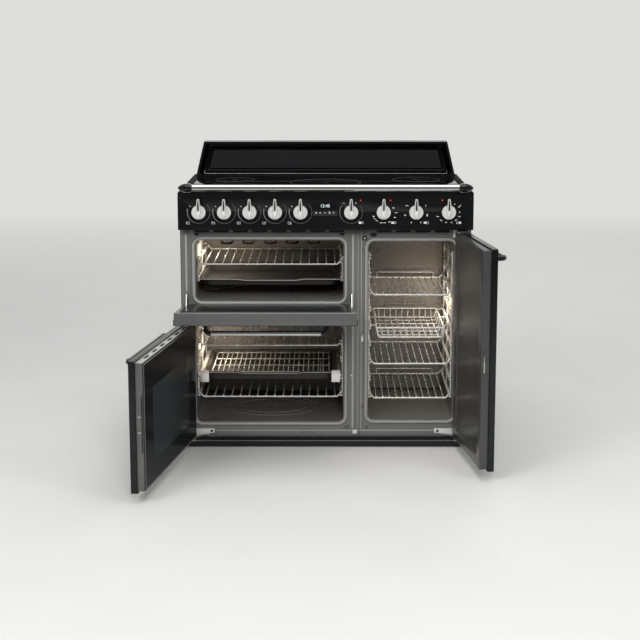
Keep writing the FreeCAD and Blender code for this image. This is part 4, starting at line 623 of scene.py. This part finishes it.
for node in ("upper_tray", "main_tray"):
    low, high = (Vector(corner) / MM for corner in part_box(node))
    # the rim's width, the sides' draft, and half the dip's width where it starts and is level
    rim, draft, slope, dip = 12, 10, 115, 90
    inner_low, inner_high = low + Vector((rim, rim, 0)), high - Vector((rim, rim, 0))
    tray = block(node, inner_low, inner_high)
    pick(tray, "VERT", lambda point: point.z < low.z + 1)
    width, depth = inner_high.x - inner_low.x, inner_high.y - inner_low.y
    bpy.ops.transform.resize(value=(1 - 2 * draft / width, 1 - 2 * draft / depth, 1))
    pick(tray, "EDGE", lambda middle, along: abs(along.z) > 0.5)
    bpy.ops.mesh.bevel(offset=26 * MM, segments=6)
    pick(tray, "FACE", lambda middle, normal: normal.z > 0.9)
    bpy.ops.mesh.delete(type="ONLY_FACE")
    pick(tray, "EDGE", lambda middle, along: middle.z > high.z - 1)
    bpy.ops.mesh.extrude_region_move()
    bpy.ops.transform.resize(value=(1 + 2 * (rim - 2) / width, 1 + 2 * (rim - 2) / depth, 1))
    centre = (low.x + high.x) / 2
    for x in (-slope, -dip, dip, slope):
        bpy.ops.mesh.select_all(action="SELECT")
        bpy.ops.mesh.bisect(plane_co=((centre + x) * MM, 0, 0), plane_no=(1, 0, 0))
    near = inner_low.y + 5
    pick(tray, "VERT", lambda at: at.z > high.z - 2 and at.y < near and abs(at.x - centre) < dip + 1)
    bpy.ops.transform.translate(value=(0, 0, -4 * MM))
    pick(tray, "FACE", lambda middle, normal: normal.z < -0.9 and middle.z < low.z + 1)
    bpy.ops.mesh.inset(thickness=12 * MM)
    bpy.ops.mesh.select_all(action="SELECT")
    bpy.ops.mesh.normals_make_consistent(inside=False)
    put_down()
    modify(tray, "SOLIDIFY", thickness=1.2 * MM, offset=0)
    rounded(tray, 0.5, 2, 50)
    # the rolled edge follows the rim and its dip
    left, front, top = low.x + 2.2, low.y + 2.2, high.z - 2.2
    right, rear = high.x - 2.2, high.y - 2.2
    edge = [(left, rear, top), (left, front, top)]
    edge += [(centre - slope, front, top), (centre - dip, front, top - 4)]
    edge += [(centre + dip, front, top - 4), (centre + slope, front, top)]
    edge += [(right, front, top), (right, rear, top)]
    roll = tube(node + "_rolled_rim", edge, 2.1, closed=True, bend=10, sides=3)
    finish_off(tray, tray_enamel, "tray_enamel", body_of[node], node)
    finish_off(roll, rim_enamel_and_highlight, "tray_enamel", body_of[node])

# ------------
# The doors: an enamelled black skin folded round its edges, a grey painted frame
# behind it, two tinted panes, and on the tall oven a pressed grey liner instead.
# Each door was made shut in the part and stands open about its hinge here.

# gloss enamel: near black and mirror-like, with a ripple 8 mm wide
black_enamel = varied_finish(
    "gloss_black_enamelled_steel", "#0a0a0b", 0.2, cloud=(8, 3), tones=("#080809", "#0e0e0f"),
    gloss=(0.15, 0.25), span=(0.3, 0.7), grain=(120, 0.08, 0.3), Specular_IOR_Level=0.35,
)

# stoved paint: even grey with a fine pebble. The top bar's upward faces get a lighter grey: painted light
# from the lamps overhead
frame_paint = varied_finish(
    "grey_painted_frame_steel", "#565655", 0.36, 0.3,
    cloud=(12, 3), tones=("#505050", "#5e5e5d"), grain=(500, 0.15, 0.2),
)

top_bar_painted_light = varied_finish(
    "grey_paint_painted_top_light", "#9c9c9a", 0.34, cloud=(12, 3), tones=("#949492", "#a6a6a4")
)

# liner enamel: dark grey, with the ripple of a sprayed coat
liner_enamel = varied_finish(
    "dark_grey_liner_enamel", "#353535", 0.3, tones=("#303030", "#3b3b3b"), grain=(160, 0.12, 0.3)
)

# tinted float glass with an anti-glare coat: dark, almost without reflections
tinted_glass = varied_finish(
    "tinted_door_glass", "#2b2c2d", 0.2, cloud=(6, 2), tones=("#28292a", "#303132"),
    Specular_IOR_Level=0.02,
)

# ceramic ink fired on the glass: black, a little rougher than the pane
printed_border = varied_finish(
    "black_printed_glass_border", "#1b1b1c", 0.22, cloud=(60, 2), gloss=(0.12, 0.22),
    Specular_IOR_Level=0.02,
)

for door in ("flap", "main_door", "tall_door"):
    from_solid(door + "_skin", "enamelled_" + door + "_skin", black_enamel, 1.2)
for door in ("flap", "main_door"):
    bars = from_solid(door + "_frame", "painted_" + door + "_frame", frame_paint, 0.7)
    from_solid(door + "_glass", "tinted_" + door + "_glass", tinted_glass, 0.5)
# the upward faces of the main door's top bar take the lighter grey, painted light from above
bars.data.materials.append(top_bar_painted_light)
for face in bars.data.polygons:
    if face.normal.z > 0.9 and face.center.z > 440 * MM:
        face.material_index = 1
from_solid("tall_door_liner", "pressed_tall_door_liner", liner_enamel, 1.2)

DOOR_FACE = -300
HINGES = {
    "flap_door": ((0, -285, 476), "X", 83.5),
    "main_door": ((-483, -287, 0), "Z", -100),
    "tall_door": ((478, -287, 0), "Z", 98),
}


def opened(piece, door):
    """Turns a piece made on a shut door to where the open door holds it."""
    pivot, axis, angle = HINGES[door]
    pivot = Matrix.Translation(Vector(pivot) * MM)
    piece.data.transform(pivot @ Matrix.Rotation(math.radians(angle), 4, axis) @ pivot.inverted())
    return piece


# the flap's upper edge is closed by a plain painted strip
trim = rounded(block("flap_edge_strip", (-490.5, -298.4, 753.1), (101.5, -257.4, 757.8)), 1.1)
finish_off(opened(trim, "flap_door"), frame_paint, "black_enamel", "flap_door")
# a light grey lip along the strip's edge is a painted highlight
highlight_lip = tube("flap_edge_highlight_lip", [(-489, -258, 757), (100, -258, 757)], 0.9, sides=2)
finish_off(opened(highlight_lip, "flap_door"), highlight_enamel, "black_enamel", "flap_door")

# light grey strips along the inner panes' edges: a painted highlight where the edges catch the light
pane_edge_highlight = varied_finish("glass_edge_painted_highlight", "#a9adab", 0.35, cloud=(300, 2), gloss=(0.28, 0.45))
edges = [
    block("edge", (left, -256.9, low), (right, -252.8, high))
    for left, right, low, high in (
        (95.5, 97, 44.5, 437), (-485, 95.8, 43.3, 44.8), (-485, 95.8, 436.7, 438.2),
    )
]
edges = rounded(joined("main_door_pane_edge_highlights", edges), 0.4)
finish_off(opened(edges, "main_door"), pane_edge_highlight, "door_glass", "main_door")

# the border printed on the inner pane round each window
for door, outer, window in (
    ("flap_door", (-470.5, 81.5, 471.5, 746), (-398, 9, 519.5, 657)),
    ("main_door", (-485, 95.8, 44.5, 437), (-398, 9, 110, 347)),
):
    left, right, low, high = window
    border = block(door + "_border", (outer[0], -253.3, outer[2]), (outer[1], -252.9, outer[3]))
    cuts = [((x, 0, 0), (1, 0, 0)) for x in (left, right)] + [((0, 0, z), (0, 0, 1)) for z in (low, high)]
    for place, across in cuts:
        pick(border, "FACE")
        bpy.ops.mesh.bisect(plane_co=Vector(place) * MM, plane_no=across)
    pick(border, "FACE", lambda middle, normal: left < middle.x < right and low < middle.z < high)
    bpy.ops.mesh.delete(type="FACE")
    put_down()
    finish_off(opened(border, door), printed_border, "door_glass", door)

# ------------
# The door handles: a chrome-plated round bar between two curved brackets of glossy
# black enamel, bolted to the door's skin, each with a bright collar.

# polished chrome: a mirror, with faint hazy clouds
bright_chrome = varied_finish(
    "polished_chrome_plate", "#bdbdbb", 0.09, 1.0, cloud=(15, 3), gloss=(0.05, 0.14)
)
for door, node, left, right, y, z in (
    ("flap_door", "flap_handle", -371, -18, -328, 719),
    ("main_door", "main_door_handle", -371, -18, -337, 419),
    ("tall_door", "tall_door_handle", 180.5, 426.5, -337, 719),
):
    bright = [tube(door + "_handle_bar", [(left - 2, y, z), (right + 2, y, z)], 8.6, sides=14)]
    for x, out, side in ((left, -1, "_left_bracket"), (right, 1, "_right_bracket")):
        bright.append(rounded(turned("collar", (x - 3 * out, y, z), (x + 3 * out, y, z), 8.9), 0.8))
        stand = x + 22 * out
        arm = tube("arm", [(x, y, z), (stand, y, z), (stand, DOOR_FACE, z)], 7.6, bend=17, sides=8)
        foot = rounded(turned("foot", (stand, DOOR_FACE - 4, z), (stand, DOOR_FACE, z), 8), 1)
        finish_off(opened(joined(door + side, [arm, foot]), door), black_enamel, "black_enamel", door)
    finish_off(opened(joined("chromed_" + node, bright), door), bright_chrome, "handle_metal", door, node)

# ------------
# Hinges, ears, catches, latch rollers and strikers: steel, stamped and bent, then
# nickel plated to a soft shine.

# nickel plate: warm grey with a soft shine, patchy over the stamped steel
nickel_steel = varied_finish(
    "nickel_plated_steel", "#c3c2bf", 0.26, 1.0, cloud=(60, 3), gloss=(0.18, 0.38)
)
for node in ("carcass_fittings", "flap_hinges", "main_door_fittings", "tall_door_fittings"):
    from_solid(node, "plated_" + node, nickel_steel, 0.4)

# the wedge-shaped foot of each lower hinge, and a small bracket in the middle
for name, near, far in (("main", -453, -389), ("tall", 456, 380)):
    top = 58
    wedge = block(name + "_hinge_foot", (min(near, far), FRONT - 5, 32), (max(near, far), FRONT - 1, top))
    pick(wedge, "VERT", lambda point: abs(point.x - far) < 1)
    bpy.ops.transform.resize(value=(1, 1, 0.62), center_override=(0, 0, top * MM))
    put_down()
    rounded(wedge, 1.4, 3)
    finish_off(wedge, rolled_steel, "chrome", "carcass")
    at = near + (far - near) * 0.84
    # a dark disc in each foot paints the shade inside its hole
    hole_shade = turned(name + "_hinge_hole_shade", (at, FRONT - 5.6, 49.5), (at, FRONT - 4.4, 49.5), 4.6)
    finish_off(rounded(hole_shade, 0.4), dark_steel_and_hole_shade, "chrome", "carcass")
for name, low, high, edge in (
    ("middle_foot_clip", (94, FRONT - 5.5, 38), (109, FRONT - 2, 53), 1.2),
    ("tall_hinge_head", (452, FRONT - 5, 736), (494, FRONT - 1, 753), 1.4),
):
    finish_off(rounded(block(name, low, high), edge, 3), rolled_steel, "chrome", "carcass")

# dark covers over the latch plate and the tall door's striker, and a dark block that paints the shade
# inside the latch slot
for door, name, low, high, finish in (
    ("main_door", "latch_cover", (101.3, -277.4, 191), (102, -262, 309), frame_paint),
    ("main_door", "latch_slot_shade", (100.2, -262, 160), (102.2, -258.6, 340), dark_steel_and_hole_shade),
    ("tall_door", "striker_cover_1", (111.7, -277.4, 339), (112.7, -259.6, 358), liner_enamel),
    ("tall_door", "striker_cover_2", (111.7, -277.4, 412), (112.7, -259.6, 431), liner_enamel),
    ("tall_door", "striker_cover_3", (111.7, -277.4, 358), (112.7, -264.5, 412), liner_enamel),
):
    cover = rounded(block(name, low, high), 0.3)
    finish_off(opened(cover, door), finish, "black_enamel", door)

# ------------
# Lamp glasses: pressed borosilicate domes over lit bulbs, set in the oven walls.
# They fill the ovens with warm light.
# pressed glass: ripples 5 mm apart, lit from behind
lit_glass, tree, shader, where = new_finish(
    "lit_borosilicate_lamp_glass", "#fff0d6", 0.15,
    Emission_Color=linear("#ffdca6"), Emission_Strength=3,
)
ripple = add_node(tree, "TexWave", {"Vector": where, "Scale": 60.0})
add_node(tree, "Bump", {"Height": ripple, "Strength": 0.3, "Distance": 0.0005}, to=shader.inputs["Normal"])
domes = []
for x, out, z in ((-446, 1, 674), (-450, 1, 338), (443, -1, 480)):
    dome = turned("dome", (x, -135, z), (x + 4 * out, -135, z), 22, 18)
    domes.append(rounded(dome, 1.5, 3))
    bulb = bpy.data.lights.new("oven_bulb", "POINT")
    bulb.energy = 2.0
    bulb.color = (1, 0.86, 0.68)
    bulb.shadow_soft_size = 0.03
    holder = bpy.data.objects.new("oven_bulb", bulb)
    holder.location = ((x + 60 * out) * MM, -0.06, z * MM)
    holder.visible_glossy = False
    scene.collection.objects.link(holder)
finish_off(joined("lamp_domes", domes), lit_glass, "lamp_glass", "carcass", "oven_lamps")

# ------------
# The control panel: black enamelled steel with a step along its top, printed in
# white and grey round each knob, with a smoked pane over the clock and small red
# signal lamps. The print is screen enamel a few hundredths of a millimetre thick.
from_solid("control_panel", "enamelled_control_panel", black_enamel, 1.2)
# smoked glass: black and glossy, with the faint waves of a thin pane
smoked_glass = varied_finish("smoked_clock_glass", "#060607", 0.06, grain=(40, 0.03, 0.2))
from_solid("clock_window", "smoked_clock_pane", smoked_glass, 0.4)

KNOBS = (-429, -343, -257, -171, -85, 86, 196, 306, 416)
KNOB_Z = 829
PANEL = DOOR_FACE


def printed(name, shapes, finish):
    """Joins printed marks, flat on the panel's face, to one thin piece."""
    finish_off(joined(name, shapes), finish, "black_enamel", "carcass")


def dash(x, z, width, height, turn=0):
    """A printed bar with its middle at x, z."""
    mark = block("dash", (-width / 2, -0.3, -height / 2), (width / 2, 0.1, height / 2))
    mark.data.transform(Matrix.Rotation(math.radians(turn), 4, "Y"))
    return scaled(mark, (1, 1, 1), (x, PANEL, z))


def dot(x, z, radius):
    """A printed dot with its middle at x, z."""
    return turned("dot", (x, PANEL + 0.1, z), (x, PANEL - 0.3, z), radius, sides=20)


def arc(x, z, radius, start, end, wide, wide_end):
    """A printed arc from one angle to another, in degrees, that may grow wider."""
    steps = 48
    angles = [math.radians(start + (end - start) * k / steps) for k in range(steps + 1)]
    points = [(x + radius * math.cos(a), 0, z + radius * math.sin(a)) for a in angles]
    # the width grows over the last 0.38 of the arc
    sizes = [wide + (wide_end - wide) * max(0, k / steps - 0.62) / 0.38 for k in range(steps + 1)]
    return scaled(tube("arc", points, 1, sides=2, sizes=sizes), (1, 0.15, 1), (0, PANEL, 0))


# screen enamel: flat colour with a mesh-fine unevenness of its gloss
grey_print = varied_finish("grey_screen_enamel", "#626261", 0.4, cloud=(400, 2), gloss=(0.32, 0.5))
white_print = varied_finish("white_screen_enamel", "#d2d2cf", 0.4, cloud=(400, 2), gloss=(0.32, 0.5))

rings = [arc(x, KNOB_Z, 38.5, 43, -198, 0.55, 2.3) for x in KNOBS[:5]]
rings.append(arc(KNOBS[5], KNOB_Z, 38.5, 36, -215, 0.55, 1.6))
printed("grey_dial_arcs", rings, grey_print)


def outlined(x, z, wide, high, uprights):
    """A printed outline: two bars, 0.8 mm thick, with uprights between them."""
    bars = [dash(x, z + side * high / 2, wide, 0.8) for side in (1, -1)]
    return bars + [dash(x + place, z, 0.8, uprights[0]) for place in uprights[1:]]


marks = []
for x, filled in zip(KNOBS, ((-39.6, -38.6), (-39.6, -35.2), (-37, -37), (-34.4, -35.2), (-34.4, -38.6))):
    # which zone: an outline with one corner filled
    marks += outlined(x - 37, KNOB_Z - 37, 11, 7, (7, -5.2, 5.2))
    marks += [dot(x - 29, KNOB_Z + 19.5, 1.7), dot(x + filled[0], KNOB_Z + filled[1], 1.3)]
x = KNOBS[5]
marks += [dot(x + 16, KNOB_Z + 31, 1.8), arc(x - 25, KNOB_Z + 27, 3.4, 160, 20, 0.5, 0.5)]
for x, dashes in (
    (KNOBS[6], ((33, 14.5, 4, 4), (42, -2, 9, 1.5), (38, -18, 7, 2.4), (-34, -14, 7, 1.8, 10),
                (-31, -22, 8, 1.6, 20), (-23, -29, 8, 1.8, 30), (-8, -36, 9, 1.8), (4, -36, 8, 1.8),
                (20, -33, 8, 2, -20))),
    (KNOBS[7], ((-31, 22, 10, 1.6), (-35, 22, 1.5, 5), (-37, -10, 7, 1.6), (-37, -10, 1.6, 7),
                (-16, -35, 2, 6), (16, -35, 2, 6), (37, -10, 3, 8), (32, 22, 1.5, 7))),
    (KNOBS[8], ((34, 17, 4, 3, 30), (39, 22, 4, 3, 30), (37, 0, 3, 3), (36, -15, 7, 1.8),
                (24, -27, 8, 1.8, -25), (10, -35, 6, 1.8), (-9, -35, 6, 1.8), (-25, -28, 8, 1.8, 25),
                (-37, -15, 8, 1.8, 10))),
):
    marks += [dash(x + across, KNOB_Z + up, *bar) for across, up, *bar in dashes]
marks.append(dot(KNOBS[8] + 19.4, KNOB_Z + 27, 1.8))
for x, filled in zip(KNOBS[5:], ((-3.4, 8), (-3.4, 8), (-3.4, 8), (4.4, 6))):
    # which oven: a cooker's front with one door filled
    marks += outlined(x + 34, KNOB_Z - 36, 16, 6.8, (7.5, -7.7, 1, 7.7))
    marks.append(dash(x + 34 + filled[0], KNOB_Z - 36, filled[1], 5))
printed("white_dial_marks", marks, white_print)

# the clock: lit digits and a row of touch symbols behind the pane
lit_digits = varied_finish(
    "lit_clock_digits", "#c9d4d6", 0.4, cloud=(400, 2), gloss=(0.35, 0.5),
    Emission_Color=linear("#c9d4d6"), Emission_Strength=0.45,
)
bpy.ops.object.select_all(action="DESELECT")
upright = (math.radians(90), 0, 0)
bpy.ops.object.text_add(location=Vector((-2, PANEL - 0.3, 850)) * MM, rotation=upright)
digits = bpy.context.object
digits.data.body = "12:45"
digits.data.size = 15 * MM
digits.data.extrude = 0.15 * MM
digits.data.align_x = digits.data.align_y = "CENTER"
bpy.ops.object.convert(target="MESH")
bpy.ops.object.transform_apply()
digits.name = "clock_digits"
finish_off(digits, lit_digits, "clock_glass", "carcass")
symbols = [dot(-32, 827, 2.2), dash(-18, 827, 6, 1.3), dash(-18, 827, 1.3, 6), dash(-2, 827, 6, 1.3)]
symbols += [dash(13, 825.5, 6, 1.2), dash(13, 829, 4, 3.2), dash(27, 827, 1.3, 6), dash(27, 829.5, 5, 1.2)]
printed("clock_touch_symbols", symbols, white_print)

# the lamps' lenses: clear red plastic that glows
red_lens = varied_finish(
    "red_signal_lens", "#7a0f0c", 0.15, cloud=(400, 2), gloss=(0.1, 0.2),
    Emission_Color=linear("#ff3a30"), Emission_Strength=0.9,
)
lenses = [
    rounded(turned("lens", (x, PANEL + 0.5, 869), (x, PANEL - 1.6, 869), 2.6, 1.6, 24), 0.6)
    for x in (KNOBS[5] + 32, KNOBS[6] + 23, KNOBS[8] - 22)
]
finish_off(joined("signal_lamps", lenses), red_lens, "black_enamel", "carcass")

# ------------
# The knobs: a die-cast disc with a turned face and a groove, lacquered silver, and
# a slender chromed lever across it with a dark slot, pointed at its heel. One knob
# is modelled and copied eight times.

# silver lacquer on a casting: satin, with a metallic grain of 4 mm clouds
silver_cast = varied_finish(
    "satin_silver_die_casting", "#d6d6d3", 0.36, 0.3,
    cloud=(250, 3), tones=("#cfcfcc", "#dededb"), gloss=(0.28, 0.42),
)
# a matt black strip laid in the slot paints the shade inside it
shadow_black = varied_finish("painted_slot_shade", "#070707", 0.5, grain=(650, 0.2, 0.1))
# satin chrome: softer than the bars', so that the levers show pale
satin_chrome = varied_finish(
    "satin_chrome_plated_lever", "#dcdcda", 0.26, 0.45, cloud=(250, 2), gloss=(0.2, 0.32)
)

disc = turned("disc", (0, -301, 0), (0, -311, 0), 23.5, sides=64)
pick(disc, "FACE", lambda middle, normal: normal.y < -0.9)
for inset, depth in ((4.2, 0), (0.8, 1.2), (0.8, -2.4), (9, -1.2)):
    sink(inset, depth)
put_down()
rounded(disc, 1.1, 3, 50)

lever = block("lever", (-7.8, -327, -20), (7.8, -312, 46.6))
pick(lever, "FACE")
bpy.ops.mesh.bisect(plane_co=(0, 0, 3 * MM), plane_no=(0, 0, 1))
# narrower at its tip, pointed at its heel and wider where it meets the disc
for corners, width in (
    (lambda point: point.z > 40, 0.47),
    (lambda point: point.z < -10, 0.14),
    (lambda point: point.y > -313, 1.25),
):
    pick(lever, "VERT", corners)
    bpy.ops.transform.resize(value=(width, 1, 1), center_override=(0, 0, 0))
pick(lever, "VERT", lambda point: point.z < -10 and point.y < -320)
bpy.ops.transform.translate(value=(0, 4 * MM, 0))
pick(lever, "EDGE", lambda middle, along: abs(along.y) > 0.9 and middle.z > 40)
bpy.ops.mesh.bevel(offset=3.2 * MM, segments=5)
pick(lever, "FACE", lambda middle, normal: normal.y < -0.9 and middle.z > 10)
bpy.ops.mesh.inset(thickness=2.8 * MM)
bpy.ops.mesh.extrude_region_move()
bpy.ops.transform.translate(value=(0, 6 * MM, 0))
put_down()
rounded(lever, 0.9, 3, 30)
slot_shade_strip = block("slot_shade_strip", (-2.4, -321.4, 7), (2.4, -320.6, 42))
for k, x in enumerate(KNOBS):
    body = f"knob_{k + 1}_body"
    shift = (x, 0, KNOB_Z)
    finish_off(copied(disc, f"knob_disc_{k + 1}", shift), silver_cast, "silver_knob", body, f"knob_{k + 1}")
    finish_off(copied(lever, f"knob_lever_{k + 1}", shift), satin_chrome, "silver_knob", body)
    finish_off(copied(slot_shade_strip, f"knob_slot_shade_{k + 1}", shift), shadow_black, "black_plastic", body)
for pattern in (disc, lever, slot_shade_strip):
    bpy.data.objects.remove(pattern)

# ------------
# The hob: a pane of black glass-ceramic let into an enamelled surround, its five
# cooking zones printed as thin grey rings. The copper coils lie just under it.

# glass-ceramic: black and smooth, with waves 50 mm wide in its face
ceramic = varied_finish(
    "black_glass_ceramic", "#050506", 0.08, grain=(20, 0.03, 0.3), Specular_IOR_Level=0.1
)
from_solid("hob_glass", "ceramic_hob_glass", ceramic, 0.8)
HOB_TOP = 898.5
# matt enamel round the glass, with a pebble of 3 mm
satin_black = varied_finish(
    "satin_black_enamelled_steel", "#0c0c0d", 0.55, grain=(300, 0.15, 0.2), Specular_IOR_Level=0.02
)
surround = from_solid("hob_surround", "enamelled_hob_surround", satin_black, 0.8)
# its rounded rear edge is brought level with the back of the case
REAR = 300
pick(surround, "VERT", lambda point: point.y > REAR - 0.1)
bpy.ops.transform.resize(value=(1, 0, 1), center_override=(0, REAR * MM, 0))
put_down()
# wound litz wire: copper, in rings 3 mm apart
copper, tree, shader, where = new_finish("lacquered_copper_winding", "#8c5a35", 0.4, 0.8)
turn = add_node(tree, "TexWave", {"Vector": where, "Scale": 100.0}, wave_type="RINGS", rings_direction="Z")
add_node(tree, "Bump", {"Height": turn, "Strength": 0.5, "Distance": 0.0006}, to=shader.inputs["Normal"])
own_finish("induction_coils", copper)

zones = []
for x, y, radius in ((-330, -110, 85), (-330, 95, 70), (0, -10, 125), (330, -110, 70), (330, 95, 85)):
    ring = tube("zone", ellipse(x, y, radius, radius, 72), 1.1, closed=True, sides=1)
    zones.append(scaled(ring, (1, 1, 0.2), (0, 0, HOB_TOP)))
    for dx, dy in ((12, 1.2), (1.2, 12)):
        low, high = (x - dx, y - dy, HOB_TOP - 0.1), (x + dx, y + dy, HOB_TOP + 0.2)
        zones.append(block("cross", low, high))
zone_print = varied_finish("dark_ceramic_print", "#2b2b2c", 0.35, cloud=(400, 2), gloss=(0.3, 0.42))
finish_off(joined("printed_cooking_zones", zones), zone_print, "hob_glass", "carcass")

# ------------
# The front bar: a polished chrome tube along the worktop, with black leaf-shaped
# end caps in a chrome outline. The caps stand on the worktop's front edge.
BAR = (-330, 914)
leaves, outlines = [], [tube("chromed_front_bar", [(-447, *BAR), (447, *BAR)], 11.5, sides=14)]
for side in (-1, 1):
    reach = [(side * (440 + 54.5 * k / 16), *BAR) for k in range(17)]
    swell = [max(0.03, math.sin(math.pi * (0.1 + 0.9 * k / 16)) ** 0.62) for k in range(17)]
    leaves.append(tube("leaf", reach, 14, sides=8, sizes=swell))
    rim = [(x, y, z + 14.6 * s) for (x, y, z), s in zip(reach, swell)]
    rim += [(x, y, z - 14.6 * s) for (x, y, z), s in zip(reach[::-1], swell[::-1])]
    outlines.append(tube("outline", rim, 1.1, closed=True, sides=2))
    leg = block("leg", (side * 469 - 10, -324, 897), (side * 469 + 10, -268, 908))
    pick(leg, "VERT", lambda point: point.z > 900 and point.y > -280)
    bpy.ops.transform.translate(value=(0, -14 * MM, 0))
    put_down()
    leaves.append(rounded(leg, 2, 3))
finish_off(joined("black_end_leaves", leaves), black_enamel, "black_enamel", "carcass")
finish_off(joined("chromed_front_bar", outlines), bright_chrome, "chrome", "carcass", "front_bar")

# ------------
# The splashback: enamelled steel, leaning back a little and narrower at its top,
# with a large pressed field that stands in a groove with rounded corners.

# the field's enamel is less glossy than its border's, and a little lighter: a painted reflection
field_painted_reflection = varied_finish(
    "satin_black_field_painted_reflection", "#151516", 0.3, cloud=(4, 3), tones=("#131314", "#1a1a1b"),
    Specular_IOR_Level=0.35,
)
FIELD_Z = 961


def in_field(middle, normal, wide, high):
    """Whether a forward face has its middle within so much of the field's middle."""
    return normal.y < -0.9 and abs(middle.x) < wide and abs(middle.z - FIELD_Z) < high


back = from_solid("splashback", "pressed_splashback", black_enamel)
pick(back, "FACE")
bpy.ops.mesh.dissolve_limited(angle_limit=math.radians(0.5))
pick(back, "FACE", lambda middle, normal: middle.y < 234 and in_field(middle, normal, 999, 12))
bpy.ops.mesh.inset(thickness=9 * MM)
pick(back, "VERT", lambda point: point.y < 237 and 905 < point.z < 1015 and abs(point.x) > 400)
bpy.ops.mesh.bevel(offset=11 * MM, segments=6, affect="VERTICES")
pick(back, "FACE", lambda middle, normal: in_field(middle, normal, 9, 6))
for inset, depth in ((3, 3), (1.5, 0), (3, -3.4)):
    sink(inset, depth)
put_down()
rounded(back, 0.8, 3, 25)
# two thin beads along the foot of the field, turned up at their ends, in light grey: painted highlight
# lines on the groove's lower lip
beads = []
for out, low in ((455, 906.5), (450, 912)):
    path = [(-out + 2, 228.2, low + 12), (-out, 227, low), (out, 227, low), (out - 2, 228.2, low + 12)]
    beads.append(tube("bead", path, 0.9, bend=5, sides=3))
finish_off(joined("splashback_highlight_beads", beads), highlight_enamel, "black_enamel", "carcass")
back.data.materials.append(field_painted_reflection)
for face in back.data.polygons:
    if face.center.y < 240 * MM and in_field(face.center / MM, face.normal, 12, 10):
        face.material_index = 1
